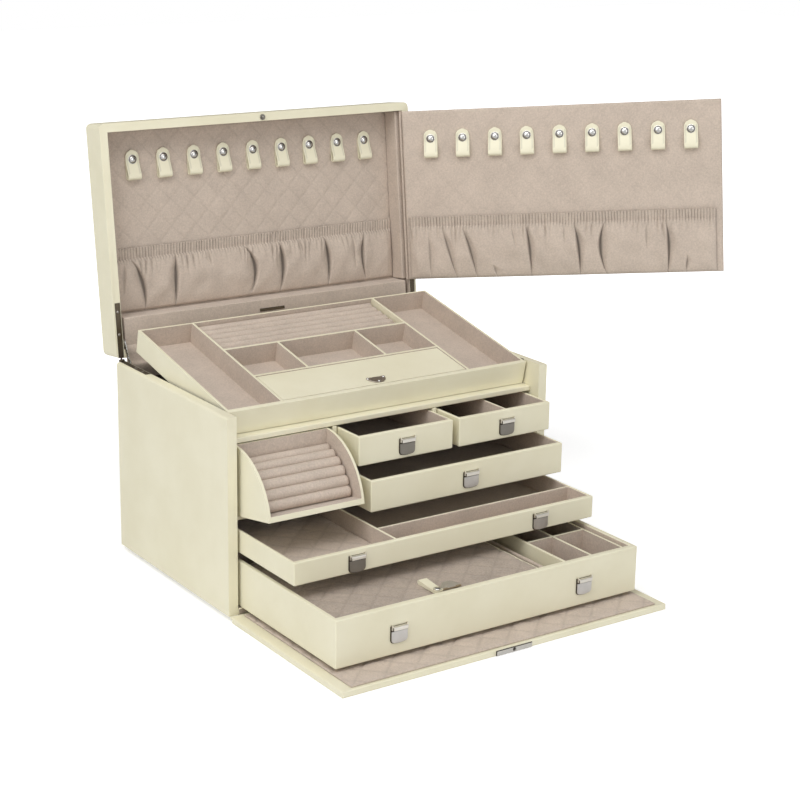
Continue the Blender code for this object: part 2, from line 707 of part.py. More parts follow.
def lid_shell(lid):
    """The leather lid, a thick board with a deep recess and rounded corners."""
    mesh = box_mesh("lid_shell", (-LID_HALF_WIDTH, -LID_FRONT, LID_SEAM),
                    (LID_HALF_WIDTH, -LID_REAR, LID_HEIGHT))
    bevel_edges(mesh, LID_CORNER_RADIUS, 4, lambda a, b: max(a.z, b.z) > LID_HEIGHT / 2)
    item = place("lid_shell", mesh, LEATHER, lid)
    cut(item, box_mesh("lid_recess",
                       (-LID_HALF_WIDTH + LID_SIDE_RIM, -LID_FRONT + LID_FRONT_RIM,
                        LID_SEAM - CUT_OVERRUN),
                       (LID_HALF_WIDTH - LID_SIDE_RIM, -LID_REAR - LID_REAR_RIM,
                        LINING_FACE + LINING_THICKNESS + FIT_GAP)))
    for side in (-1, 1):
        low_x, high_x = leaf_box(side)
        start = -LID_REAR - HINGE_SETBACK / 2
        cut(item, box_mesh("leaf_mortise",
                           (low_x - FIT_GAP, start - HINGE_LEAF_LENGTH - FIT_GAP,
                            LID_SEAM - CUT_OVERRUN),
                           (high_x + FIT_GAP, CUT_OVERRUN,
                            LID_SEAM + HINGE_LEAF_THICKNESS + FIT_GAP)))


def hook_outline(foot, length, half_width):
    """Outline of a hook strap: square foot and round head."""
    head = foot + length - half_width
    points = [(-half_width, foot), (half_width, foot)]
    points += arc((0.0, head), half_width, 0.0, math.pi, HOOK_ARC_STEPS)
    return points


def hook_meshes(centre_x, foot, face_z, outward):
    """Strap, looped foot and snap cap of one hook, standing on a face and reaching outward."""
    half = HOOK_WIDTH / 2
    thickness = HOOK_THICKNESS + HOOK_SEAT
    middle = face_z + outward * (HOOK_THICKNESS - HOOK_SEAT) / 2
    strap = outline_mesh("strap", hook_outline(foot, HOOK_LENGTH, half), thickness,
                         shift(centre_x, 0.0, middle) @ Matrix.Rotation(math.pi, 4, "X"))
    loop = rod_mesh("loop", HOOK_LOOP_RADIUS, HOOK_WIDTH - HOOK_SEAT,
                    (centre_x, -foot - HOOK_LOOP_RADIUS / 2, face_z + outward * HOOK_LOOP_RADIUS / 2),
                    "X", SNAP_SIDES)
    cap_y = -(foot + HOOK_LENGTH - SNAP_FROM_TOP)
    cap = dome_mesh("cap", (centre_x, cap_y, face_z + outward * HOOK_THICKNESS), outward)
    return [strap, loop, cap]


def lid_lining(lid):
    """Quilted suede board in the lid with its nine leather snap hooks."""
    inner_x = LID_HALF_WIDTH - LID_SIDE_RIM - FIT_GAP
    item = place("lid_lining",
                 box_mesh("lining",
                          (-inner_x, -LID_FRONT + LID_FRONT_RIM + FIT_GAP, LINING_FACE),
                          (inner_x, -LID_REAR - LID_REAR_RIM - FIT_GAP,
                           LINING_FACE + LINING_THICKNESS)), LINING, lid)
    meshes = []
    for number in range(HOOK_COUNT):
        meshes.append(hook_meshes(LINING_HOOK_FIRST + HOOK_PITCH * number, HOOK_FOOT, LINING_FACE, -1))
    for layer in zip(*meshes):
        join(item, join_meshes("hook_layer", layer))


def fold_depth(along, folds, width):
    """Share of the pocket's fullness at a place between its deep folds: zero in a fold."""
    full = 1.0
    for fold in folds:
        full = min(full, 1.0 - math.exp(-((along - fold) / width) ** 2))
    return full


# Deep folds of the two pockets, as shares of the pocket's length, and the soft swell between them
LID_FOLD_SHARES = (0.105, 0.215, 0.48, 0.57, 0.74, 0.865)
WING_FOLD_SHARES = (0.062, 0.115, 0.18, 0.275, 0.375, 0.54, 0.62, 0.81, 0.89)
# Rows down the pocket below its band: share of the fall, share of the full depth, share of the fold
POCKET_PROFILE = (
    (-0.14, 0.42, 0.20),
    (0.0, 0.42, 0.30),
    (0.20, 0.80, 0.80),
    (0.53, 1.00, 1.00),
    (0.83, 0.72, 0.80),
    (1.0, 0.30, 0.15),
)
MOUTH_DEPTH_SHARE = 0.5
BAND_FOLD_SHARE = 0.3
FOLD_FLOOR_SHARE = 0.34
END_DEPTH_SHARE = 0.55
POCKET_END_EASE = 0.014
RIPPLE_SHARE = 0.12
RIPPLE_PITCH = 0.0104


def pocket_mesh(name, start, length, top, bottom, face_z, outward, fold_shares):
    """A gathered pocket: a closed skin from end to end whose front hangs in folds from its elastic."""
    folds = [share * length for share in fold_shares]
    fall = top - POCKET_BAND - bottom
    rows = [(top, MOUTH_DEPTH_SHARE, BAND_FOLD_SHARE)]
    for fall_share, depth_share, fold_share in POCKET_PROFILE:
        rows.append((top - POCKET_BAND - fall * fall_share, depth_share, fold_share))
    back = face_z + outward * FIT_GAP
    sections = []
    for number in range(POCKET_SECTIONS + 1):
        along = length * number / POCKET_SECTIONS
        full = fold_depth(along, folds, POCKET_FOLD_WIDTH)
        ripple = RIPPLE_SHARE * math.sin(along * math.tau / RIPPLE_PITCH)
        from_end = min(along, length - along)
        end_full = END_DEPTH_SHARE + (1.0 - END_DEPTH_SHARE) * min(1.0, from_end / POCKET_END_EASE)
        ring = []
        for from_axis, depth_share, fold_share in rows:
            hollow = 1.0 - fold_share * (1.0 - FOLD_FLOOR_SHARE) * (1.0 - full)
            depth = POCKET_DEPTH * depth_share * hollow * (1.0 + ripple) * end_full
            ring.append((start + along, -from_axis, back + outward * (depth + POCKET_CLOTH)))
        ring.append((start + along, -bottom, back))
        ring.append((start + along, -top, back))
        sections.append(ring)
    return loft_mesh(name, sections)


def lid_pocket(lid):
    """Gathered suede pocket across the lid lining."""
    half = LID_HALF_WIDTH - LID_SIDE_RIM - RUN_GAP
    length = half * 2 - WING_BLOCK_WIDTH - RUN_GAP
    mesh = pocket_mesh("lid_pocket", -half, length, POCKET_TOP, POCKET_BOTTOM, LINING_FACE, -1,
                       LID_FOLD_SHARES)
    shade_round(place("lid_pocket", mesh, LINING, lid))


def lid_apron(lid):
    """Suede apron that bridges the foot of the lid and the case, with its dark plate."""
    outline = [(-APRON_REAR, APRON_FACE), (-APRON_FRONT, APRON_FACE),
               (-WING_REAR + RUN_GAP, LINING_FACE - FIT_GAP), (-APRON_REAR, LINING_FACE - FIT_GAP)]
    place("lid_apron", outline_mesh("lid_apron", outline, APRON_HALF_WIDTH * 2, ALONG_X), LINING, lid)
    near = -APRON_PLATE_SETBACK
    board("apron_plate", (-APRON_PLATE_WIDTH / 2, near - APRON_PLATE_LENGTH,
                          APRON_FACE - FIT_GAP - APRON_PLATE_THICKNESS),
          (APRON_PLATE_WIDTH / 2, near, APRON_FACE - FIT_GAP), DARK_METAL, lid, APRON_PLATE_THICKNESS / 4)


def screwed(name, profile, surface, parent, centre, steps=24):
    """A turned piece from a profile of (radius, height) points that runs down its outer side."""
    mesh = bpy.data.meshes.new(name)
    shape = bmesh.new()
    verts = [shape.verts.new((radius, 0.0, height)) for radius, height in profile]
    for before, after in zip(verts, verts[1:]):
        shape.edges.new((before, after))
    shape.to_mesh(mesh)
    shape.free()
    item = place(name, mesh, surface, parent)
    item.location = centre
    turning = item.modifiers.new("turned", "SCREW")
    turning.axis = "Z"
    turning.steps = steps
    turning.render_steps = steps
    turning.use_merge_vertices = True
    turning.merge_threshold = WELD
    return item


def lid_catch_pin(lid):
    """Turned catch pin that enters the door's lock plate when the box is shut."""
    low = -CATCH_PIN_LENGTH
    nose = low + CATCH_PIN_RADIUS * CATCH_NOSE_SHARE
    profile = [(0.0, 0.0), (CATCH_COLLAR_RADIUS, 0.0), (CATCH_COLLAR_RADIUS, -CATCH_COLLAR_THICKNESS),
               (CATCH_PIN_RADIUS, -CATCH_COLLAR_THICKNESS), (CATCH_PIN_RADIUS, nose),
               (CATCH_PIN_RADIUS / 2, low), (0.0, low)]
    screwed("lid_catch_pin", profile, PLATED, lid,
            (CATCH_PIN_X, -CATCH_PIN_FROM_AXIS, LID_SEAM - FIT_GAP))


def wing_seat(lid):
    """Suede block along the lid's right rim and the cloth bead on which the wing swings."""
    right = LID_HALF_WIDTH - LID_SIDE_RIM - FIT_GAP
    low = WING_AXIS_RISE + WING_BOARD_THICKNESS + FIT_GAP
    board("wing_hinge_block", (right - WING_BLOCK_WIDTH, -WING_FRONT, low),
          (right, -WING_REAR, LINING_FACE - FIT_GAP), LINING, lid)
    bead = place("wing_hinge_bead",
                 rod_mesh("bead", WING_BEAD_RADIUS, WING_FRONT - WING_REAR,
                          (WING_AXIS_X, -(WING_FRONT + WING_REAR) / 2, WING_AXIS_RISE), "Y", 14),
                 LINING, lid)
    shade_round(bead)


# Wing, modelled folded in: its empty lies on the bead, -X runs to the wing's free edge

def wing_pieces(wing):
    """The fold-out board with nine hooks and its gathered pocket."""
    item = place("wing_board",
                 box_mesh("wing_board", (-WING_LENGTH, -WING_FRONT, 0.0),
                          (-WING_START, -WING_REAR, WING_BOARD_THICKNESS)), LINING, wing)
    meshes = []
    for number in range(HOOK_COUNT):
        meshes.append(hook_meshes(-WING_HOOK_FIRST - HOOK_PITCH * number, WING_HOOK_FOOT,
                                  WING_BOARD_THICKNESS, 1))
    for layer in zip(*meshes):
        join(item, join_meshes("hook_layer", layer))
    mesh = pocket_mesh("wing_pocket", -WING_POCKET_END, WING_POCKET_END - WING_POCKET_START,
                       WING_POCKET_TOP, WING_REAR, WING_BOARD_THICKNESS, 1, WING_FOLD_SHARES)
    shade_round(place("wing_pocket", mesh, LINING, wing))


# Stay arms

def stay_arms():
    """Flat steel stays beside the tray, each with a short pivot pin towards its wall."""
    for side, name in ((-1, "left"), (1, "right")):
        near_wall = side * (WALL_X - STAY_WALL_GAP)
        middle = near_wall - side * STAY_THICKNESS / 2
        pivot = joint_empty(f"stay_{name}_axis",
                            (0.0, BACK_Y - STAY_PIVOT_FROM_BACK, STAY_PIVOT_HEIGHT), STAY_REST_ANGLE)
        half = STAY_WIDTH / 2
        outline = arc((0.0, 0.0), half, math.pi / 2, math.pi * 3 / 2, 8)
        outline += arc((STAY_LENGTH, 0.0), half, -math.pi / 2, math.pi / 2, 8)
        item = place(f"stay_arm_{name}",
                     outline_mesh("stay", outline, STAY_THICKNESS, shift(middle, 0.0, 0.0) @ ALONG_X),
                     BRIGHT_STEEL, pivot)
        pin_end = side * (WALL_X - FIT_GAP)
        pin_start = near_wall - side * STAY_THICKNESS / 2
        join(item, rod_mesh("pin", STAY_PIN_RADIUS, abs(pin_end - pin_start),
                            ((pin_end + pin_start) / 2, 0.0, 0.0), "X", 12))


# Tray, modelled level: its empty lies on the pivot, +Y runs to the rear of the tray

def tray_space(x, from_front, up):
    """A place in the tray's own frame, from its outer front face and its underside."""
    return (x, from_front - TRAY_PIVOT_IN, up - TRAY_PIVOT_UP)


def tray_cells():
    """The tray's compartments as (left, right, front, rear)."""
    half = TRAY_DIVIDER / 2
    left = TRAY_LEFT_DIVIDER
    right = TRAY_RIGHT_DIVIDER
    rear = TRAY_DEPTH - TRAY_REAR
    inner = TRAY_HALF_WIDTH - TRAY_SIDE
    return {
        "left": (-inner, left - half, TRAY_FRONT, rear),
        "right": (right + half, inner, TRAY_FRONT, rear),
        "rolls": (left + half, right - half, TRAY_ROLL_DIVIDER + half, rear),
        "small_left": (left + half, TRAY_SMALL_DIVIDER_LEFT - half, TRAY_COVER_DIVIDER + half,
                       TRAY_ROLL_DIVIDER - half),
        "small_middle": (TRAY_SMALL_DIVIDER_LEFT + half, TRAY_SMALL_DIVIDER_RIGHT - half,
                         TRAY_COVER_DIVIDER + half, TRAY_ROLL_DIVIDER - half),
        "small_right": (TRAY_SMALL_DIVIDER_RIGHT + half, right - half, TRAY_COVER_DIVIDER + half,
                        TRAY_ROLL_DIVIDER - half),
        "covered": (left + half, right - half, TRAY_FRONT, TRAY_COVER_DIVIDER - half),
    }


def tray_body(tray):
    """Tray with its compartments and a pivot pin at each side near the front."""
    item = place("tray_body",
                 box_mesh("tray_body", tray_space(-TRAY_HALF_WIDTH, 0.0, 0.0),
                          tray_space(TRAY_HALF_WIDTH, TRAY_DEPTH, TRAY_HEIGHT)), LEATHER, tray)
    cells = []
    for left, right, front, rear in tray_cells().values():
        cells.append(box_mesh("cell", tray_space(left, front, TRAY_FLOOR),
                              tray_space(right, rear, TRAY_HEIGHT + CUT_OVERRUN)))
    cut(item, join_meshes("tray_cells", cells))
    reach = WALL_X - FIT_GAP
    for side in (-1, 1):
        start = side * (TRAY_HALF_WIDTH - TRAY_SIDE / 2)
        end = side * reach
        join(item, rod_mesh("pin", TRAY_PIN_RADIUS, abs(end - start), ((start + end) / 2, 0.0, 0.0),
                            "X", 14))


def roll_outline(front, rear, low, valley, crest, count):
    """Side view of a row of padded rolls on a flat floor."""
    pitch = (rear - front) / count
    points = [(front, low)]
    for number in range(count):
        start = front + pitch * number
        for step in range(ROLL_ARC_STEPS + 1):
            share = step / ROLL_ARC_STEPS
            if number and step == 0:
                continue
            height = valley + (crest - valley) * math.sin(math.pi * share) ** ROLL_ROUNDNESS
            points.append((start + pitch * share, height))
    points.append((rear, low))
    return points


def tray_rolls(tray):
    """Padded ring rolls at the rear of the tray."""
    left, right, front, rear = tray_cells()["rolls"]
    crest = TRAY_HEIGHT - TRAY_ROLL_DROP
    outline = roll_outline(front + FIT_GAP - TRAY_PIVOT_IN, rear - FIT_GAP - TRAY_PIVOT_IN,
                           TRAY_FLOOR + FIT_GAP - TRAY_PIVOT_UP,
                           crest - ROLL_VALLEY_DEPTH - TRAY_PIVOT_UP, crest - TRAY_PIVOT_UP,
                           TRAY_ROLL_COUNT)
    width = right - left - FIT_GAP * 2
    item = place("tray_ring_rolls",
                 outline_mesh("tray_ring_rolls", outline, width,
                              shift((left + right) / 2, 0.0, 0.0) @ ALONG_X), LINING, tray)
    shade_round(item)


def tray_lid_pieces(tray):
    """The cream cover of the front compartment on its rear hinge line, and its half-round tab."""
    left, right, front, rear = tray_cells()["covered"]
    top = TRAY_HEIGHT - TRAY_LID_DROP
    hinge = joint_empty("tray_lid_axis", tray_space(0.0, rear - FIT_GAP, top), 0.0, "X", tray)
    length = rear - front - FIT_GAP * 2
    board("tray_lid", (left + FIT_GAP, -length, -TRAY_LID_THICKNESS),
          (right - FIT_GAP, 0.0, 0.0), LEATHER, hinge, LEATHER_EDGE / 2)
    tab_y = -length + TRAY_TAB_SETBACK
    points = arc((TRAY_TAB_X, tab_y), TRAY_TAB_RADIUS, 0.0, math.pi, 12)
    place("tray_lid_tab",
          outline_mesh("tray_lid_tab", points, TRAY_TAB_THICKNESS,
                       shift(0.0, 0.0, FIT_GAP + TRAY_TAB_THICKNESS / 2)), PLATED, hinge)


# Ring bin, modelled shut: its empty lies on the pivot

def bin_limits():
    """Outer left and right of the bin."""
    return -WALL_X + BIN_SIDE_GAP, BAY_DIVIDER_LEFT - BIN_SIDE_GAP


def ring_bin(tip):
    """Quarter-round bin: leather front, two fan-shaped sides and a floor."""
    left, right = bin_limits()
    floor_angle = math.pi / 2 - BIN_SECTOR_ANGLE
    fan = [(-BIN_PIVOT_IN, -BIN_HEEL), (0.0, -BIN_HEEL)]
    fan += arc((0.0, 0.0), BIN_RADIUS, floor_angle, math.pi / 2, BIN_ARC_STEPS)
    fan += [(-BIN_PIVOT_IN, BIN_RADIUS)]
    middle = (left + right) / 2
    item = place("ring_bin",
                 outline_mesh("ring_bin", fan, right - left, shift(middle, 0.0, 0.0) @ ALONG_X),
                 LEATHER, tip)
    inside_front = BIN_FRONT_THICKNESS - BIN_PIVOT_IN
    reach = BIN_RADIUS + CUT_OVERRUN
    slope = math.tan(floor_angle)
    rise = BIN_WALL / math.cos(floor_angle)
    hollow = [(inside_front, inside_front * slope + rise),
              (reach, reach * slope + rise),
              (reach, reach),
              (inside_front, reach)]
    cut(item, outline_mesh("bin_hollow", hollow, right - left - BIN_WALL * 2,
                           shift(middle, 0.0, 0.0) @ ALONG_X))
    for inner, outer in ((left + BIN_WALL / 2, -WALL_X + FIT_GAP),
                         (right - BIN_WALL / 2, BAY_DIVIDER_LEFT - FIT_GAP)):
        join(item, rod_mesh("boss", BIN_BOSS_RADIUS, abs(outer - inner),
                            ((inner + outer) / 2, 0.0, 0.0), "X", 14))


def ring_bin_rolls(tip):
    """Padded ring rolls that follow the bin's arc, with the flat strip along the front."""
    left, right = bin_limits()
    floor_angle = math.pi / 2 - BIN_SECTOR_ANGLE
    inside_front = BIN_FRONT_THICKNESS - BIN_PIVOT_IN
    rise = (BIN_WALL + FIT_GAP) / math.cos(floor_angle)
    slope = math.tan(floor_angle)
    near = inside_front + FIT_GAP
    first = math.acos((near + BIN_ROLL_FRONT_STRIP) / BIN_ROLL_VALLEY)
    last = floor_angle + math.asin((BIN_WALL + FIT_GAP * 2) / BIN_ROLL_VALLEY)
    pitch = (first - last) / BIN_ROLL_COUNT
    crown = []
    for number in range(BIN_ROLL_COUNT):
        for step in range(ROLL_ARC_STEPS + 1):
            if number and step == 0:
                continue
            share = step / ROLL_ARC_STEPS
            angle = first - pitch * (number + share)
            radius = BIN_ROLL_VALLEY + (BIN_ROLL_CREST - BIN_ROLL_VALLEY) * math.sin(
                math.pi * share) ** ROLL_ROUNDNESS
            crown.append((radius * math.cos(angle), radius * math.sin(angle)))
    last_x = crown[-1][0]
    lining_top = crown[0][1] + BIN_ROLL_FRONT_STRIP
    points = [(near, near * slope + rise), (near, lining_top), (near + SUEDE_LINING, lining_top),
              (near + SUEDE_LINING, crown[0][1])]
    points += crown
    points.append((last_x, last_x * slope + rise))
    width = right - left - BIN_WALL * 2 - FIT_GAP * 2
    item = place("ring_bin_rolls",
                 outline_mesh("ring_bin_rolls", points, width,
                              shift((left + right) / 2, 0.0, 0.0) @ ALONG_X), LINING, tip)
    shade_round(item)


# Drawers, each in the frame of its own empty at the middle of its closed front face

def drawer_box(name, slide, left, right, height, cells):
    """An open drawer with one cut for each compartment, given as (left, right, front, rear)."""
    item = place(name, box_mesh(name, (left, 0.0, 0.0), (right, DRAWER_DEPTH, height)), LEATHER, slide)
    hollows = []
    for cell_left, cell_right, cell_front, cell_rear in cells:
        hollows.append(box_mesh("hollow", (cell_left, cell_front, DRAWER_FLOOR),
                                (cell_right, cell_rear, height + CUT_OVERRUN)))
    cut(item, join_meshes(f"{name}_hollows", hollows))
    return item


def pull_outline(x, top, inset, plate_top=None):
    """A pull's outline with round lower corners, drawn in on three sides by the inset."""
    half = PULL_WIDTH / 2 - inset
    low = (top if plate_top is None else plate_top) - PULL_HEIGHT + inset
    radius = PULL_CORNER - inset
    points = [(x + half, top), (x - half, top)]
    points += arc((x - half + radius, low + radius), radius, math.pi, math.pi * 1.5, 4)
    points += arc((x + half - radius, low + radius), radius, math.pi * 1.5, math.pi * 2, 4)
    return points


def pull(name, slide, x, top):
    """Flap pull: a plate with round lower corners, the flap on it and a lip along its top."""
    back = -FIT_GAP
    plate_face = back - PULL_THICKNESS
    item = place(name, outline_mesh(name, pull_outline(x, top, 0.0), PULL_THICKNESS,
                                    shift(0.0, back - PULL_THICKNESS / 2, 0.0) @ ALONG_Y), PLATED, slide)
    flap_depth = PULL_FLAP_THICKNESS + PULL_THICKNESS / 2
    flap_top = top - PULL_LIP_HEIGHT - PULL_FRAME
    join(item, outline_mesh("flap", pull_outline(x, flap_top, PULL_FRAME, top), flap_depth,
                            shift(0.0, plate_face + PULL_THICKNESS / 2 - flap_depth / 2, 0.0) @ ALONG_Y))
    lip_front = plate_face - PULL_LIP
    section = [(back - PULL_THICKNESS / 2, top), (lip_front + PULL_LIP * PULL_LIP_FLAT_SHARE, top),
               (lip_front, top - PULL_LIP_HEIGHT / 2), (lip_front, top - PULL_LIP_HEIGHT),
               (lip_front + PULL_THICKNESS, top - PULL_LIP_HEIGHT),
               (back - PULL_THICKNESS / 2, top - PULL_THICKNESS * 2)]
    join(item, outline_mesh("lip", section, PULL_WIDTH - PULL_LIP_END * 2, shift(x, 0.0, 0.0) @ ALONG_X))


def pull_top(drawer_height, drop_share):
    """Height of a pull's top edge above its drawer's floor."""
    return drawer_height - (drawer_height - PULL_HEIGHT) * drop_share


def slide_empty(name, out, height):
    """Empty of a drawer: the front face at the given height, drawn out by its rest distance."""
    return joint_empty(name, (0.0, SHELF_FRONT_Y - out, height))


def small_drawers():
    """The two small drawers beside the ring bin and the middle drawer below them."""
    seat = UPPER_SHELF_TOP + DRAWER_LIFT
    rear = DRAWER_DEPTH - DRAWER_SIDE
    slide = slide_empty("left_small_drawer_slide", RING_DRAWER_OUT, seat)
    drawer_box("left_small_drawer", slide, RING_DRAWER_LEFT, RING_DRAWER_RIGHT, SMALL_DRAWER_HEIGHT,
               [(RING_DRAWER_LEFT + DRAWER_SIDE, RING_DRAWER_RIGHT - DRAWER_SIDE, DRAWER_FRONT, rear)])
    pull("left_small_drawer_pull", slide, RING_PULL_X, pull_top(SMALL_DRAWER_HEIGHT, SMALL_PULL_DROP_SHARE))
    slide = slide_empty("right_small_drawer_slide", CHAIN_DRAWER_OUT, seat)
    half = DRAWER_DIVIDER / 2
    drawer_box("right_small_drawer", slide, CHAIN_DRAWER_LEFT, CHAIN_DRAWER_RIGHT, SMALL_DRAWER_HEIGHT,
               [(CHAIN_DRAWER_LEFT + DRAWER_SIDE, CHAIN_DRAWER_DIVIDER_X - half, DRAWER_FRONT, rear),
                (CHAIN_DRAWER_DIVIDER_X + half, CHAIN_DRAWER_RIGHT - DRAWER_SIDE, DRAWER_FRONT, rear)])
    pull("right_small_drawer_pull", slide, CHAIN_PULL_X, pull_top(SMALL_DRAWER_HEIGHT, SMALL_PULL_DROP_SHARE))
    seat = MIDDLE_SHELF_TOP + DRAWER_LIFT
    slide = slide_empty("middle_drawer_slide", MIDDLE_DRAWER_OUT, seat)
    drawer_box("middle_drawer", slide, MIDDLE_DRAWER_LEFT, MIDDLE_DRAWER_RIGHT, MIDDLE_DRAWER_HEIGHT,
               [(MIDDLE_DRAWER_LEFT + DRAWER_SIDE, MIDDLE_DRAWER_RIGHT - DRAWER_SIDE, DRAWER_FRONT,
                 rear)])
    pull("middle_drawer_pull", slide, MIDDLE_PULL_X, pull_top(MIDDLE_DRAWER_HEIGHT, MIDDLE_PULL_DROP_SHARE))


def shallow_drawer():
    """Full-width shallow drawer with a quilted well at the left and two long wells."""
    seat = LOWER_SHELF_TOP + DRAWER_LIFT
    slide = slide_empty("shallow_drawer_slide", SHALLOW_OUT, seat)
    half = DRAWER_DIVIDER / 2
    inner = SHALLOW_HALF_WIDTH - DRAWER_SIDE
    rear = DRAWER_DEPTH - DRAWER_SIDE
    cells = [(-inner, SHALLOW_CROSS_X - half, DRAWER_FRONT, rear),
             (SHALLOW_CROSS_X + half, inner, DRAWER_FRONT, SHALLOW_LONG_FROM_FRONT - half),
             (SHALLOW_CROSS_X + half, inner, SHALLOW_LONG_FROM_FRONT + half, rear)]
    drawer_box("shallow_drawer", slide, -SHALLOW_HALF_WIDTH, SHALLOW_HALF_WIDTH, SHALLOW_HEIGHT,
               cells)
    left, right, front, back = cells[0]
    quilted("shallow_drawer_pad", slide, (left + FIT_GAP, front + FIT_GAP),
            (right - FIT_GAP, back - FIT_GAP), DRAWER_FLOOR + FIT_GAP, QUILT_CUSHION_HEIGHT)
    pull("shallow_drawer_pull_left", slide, -WIDE_PULL_X, pull_top(SHALLOW_HEIGHT, SHALLOW_PULL_DROP_SHARE))
    pull("shallow_drawer_pull_right", slide, WIDE_PULL_X, pull_top(SHALLOW_HEIGHT, SHALLOW_PULL_DROP_SHARE))


def quilted(name, parent, low, high, base, height):
    """A flat cushion whose top swells between diagonal rows of stitching, with drawn-in sides."""
    width = high[0] - low[0]
    depth = high[1] - low[1]
    count_x = max(2, round(width / QUILT_PITCH)) * 2
    count_y = max(2, round(depth / QUILT_PITCH)) * 2
    shape = bmesh.new()
    bmesh.ops.create_grid(shape, x_segments=count_x, y_segments=count_y, size=0.5)
    edge_ease = QUILT_CROWN * QUILT_EDGE_SHARE
    for vert in shape.verts:
        column = round((vert.co.x + 0.5) * count_x)
        row = round((vert.co.y + 0.5) * count_y)
        on_rim = column in (0, count_x) or row in (0, count_y)
        stitched = (column + row) % 2 == 0
        crown = 0.0 if stitched else QUILT_CROWN
        x = low[0] + width * (vert.co.x + 0.5)
        y = low[1] + depth * (vert.co.y + 0.5)
        z = base + height - QUILT_CROWN + crown
        if on_rim:
            z = base + height - QUILT_CROWN - edge_ease
        vert.co = (x, y, z)
    rim = [edge for edge in shape.edges if edge.is_boundary]
    grown = bmesh.ops.extrude_edge_only(shape, edges=rim)
    low_ring = [item for item in grown["geom"] if isinstance(item, bmesh.types.BMVert)]
    for vert in low_ring:
        vert.co.z = base
    low_edges = [item for item in grown["geom"] if isinstance(item, bmesh.types.BMEdge)
                 and all(vert in low_ring for vert in item.verts)]
    bmesh.ops.contextual_create(shape, geom=low_edges)
    bmesh.ops.recalc_face_normals(shape, faces=shape.faces)
    mesh = bpy.data.meshes.new(name)
    shape.to_mesh(mesh)
    shape.free()
    item = place(name, mesh, LINING, parent)
    shade_round(item)
    return item


def deep_drawer():
    """The deep drawer and what lies in it: a removable travel case and an insert tray."""
    seat = BASE_THICKNESS + DRAWER_LIFT
    slide = slide_empty("deep_drawer_slide", DEEP_OUT, seat)
    inner = DEEP_HALF_WIDTH - DEEP_SIDE
    rear = DRAWER_DEPTH - DEEP_SIDE
    half = DEEP_STRIP_WIDTH / 2
    drawer_box("deep_drawer", slide, -DEEP_HALF_WIDTH, DEEP_HALF_WIDTH, DEEP_HEIGHT,
               [(-inner, DEEP_STRIP_X - half, DEEP_FRONT, rear),
                (DEEP_STRIP_X + half, inner, DEEP_FRONT, rear)])
    pull("deep_drawer_pull_left", slide, -WIDE_PULL_X, pull_top(DEEP_HEIGHT, DEEP_PULL_DROP_SHARE))
    pull("deep_drawer_pull_right", slide, WIDE_PULL_X, pull_top(DEEP_HEIGHT, DEEP_PULL_DROP_SHARE))
    travel_case(slide, seat)
    insert_tray(slide, seat)


def travel_case(slide, seat):
    """Removable case with a quilted lid on a rear hinge, a snap strap and a half-round pull."""
    floor = DRAWER_FLOOR + FIT_GAP
    front = DEEP_FRONT + TRAVEL_FRONT_SETBACK
    top = TRAVEL_TOP - seat
    item = board("travel_case", (TRAVEL_LEFT, front, floor), (TRAVEL_RIGHT, front + TRAVEL_DEPTH, top),
                 LEATHER, slide)
    cut(item, box_mesh("travel_hollow",
                       (TRAVEL_LEFT + TRAVEL_WALL, front + TRAVEL_WALL, floor + TRAVEL_WALL),
                       (TRAVEL_RIGHT - TRAVEL_WALL, front + TRAVEL_DEPTH - TRAVEL_WALL,
                        top + CUT_OVERRUN)))
    hinge = joint_empty("travel_case_lid_axis", (0.0, front + TRAVEL_DEPTH, top), 0.0, "X", slide)
    quilted("travel_case_lid", hinge, (TRAVEL_LEFT, -TRAVEL_DEPTH), (TRAVEL_RIGHT, 0.0),
            FIT_GAP, TRAVEL_LID_THICKNESS)
    lid_top = FIT_GAP * 2 + TRAVEL_LID_THICKNESS
    strap_front = -TRAVEL_DEPTH + STRAP_FRONT_SETBACK
    travel_strap(hinge, strap_front, lid_top)
    travel_pull(hinge, -TRAVEL_DEPTH + TRAVEL_PULL_SETBACK, lid_top)


def travel_strap(hinge, front, base):
    """Leather strap folded back on itself: flat and snapped at the front, a soft fold at the rear."""
    fold = STRAP_FOLD_HEIGHT / 2
    flat_top = base + STRAP_THICKNESS * 2
    points = arc((front + STRAP_LENGTH - fold, base + fold), fold, -math.pi / 2, math.pi / 2,
                 STRAP_FOLD_STEPS)
    points += [(front + STRAP_FLAT_LENGTH, flat_top), (front, flat_top), (front, base)]
    mesh = outline_mesh("travel_case_strap", points, STRAP_WIDTH, shift(STRAP_X, 0.0, 0.0) @ ALONG_X)
    near = front + STRAP_THICKNESS
    bevel_edges(mesh, STRAP_END_RADIUS, STRAP_FOLD_STEPS,
                lambda a, b: a.y < near and b.y < near and abs(a.z - b.z) > STRAP_THICKNESS)
    strap = place("travel_case_strap", mesh, LEATHER, hinge)
    join(strap, dome_mesh("snap", (STRAP_X, front + STRAP_WIDTH / 2, flat_top), 1))


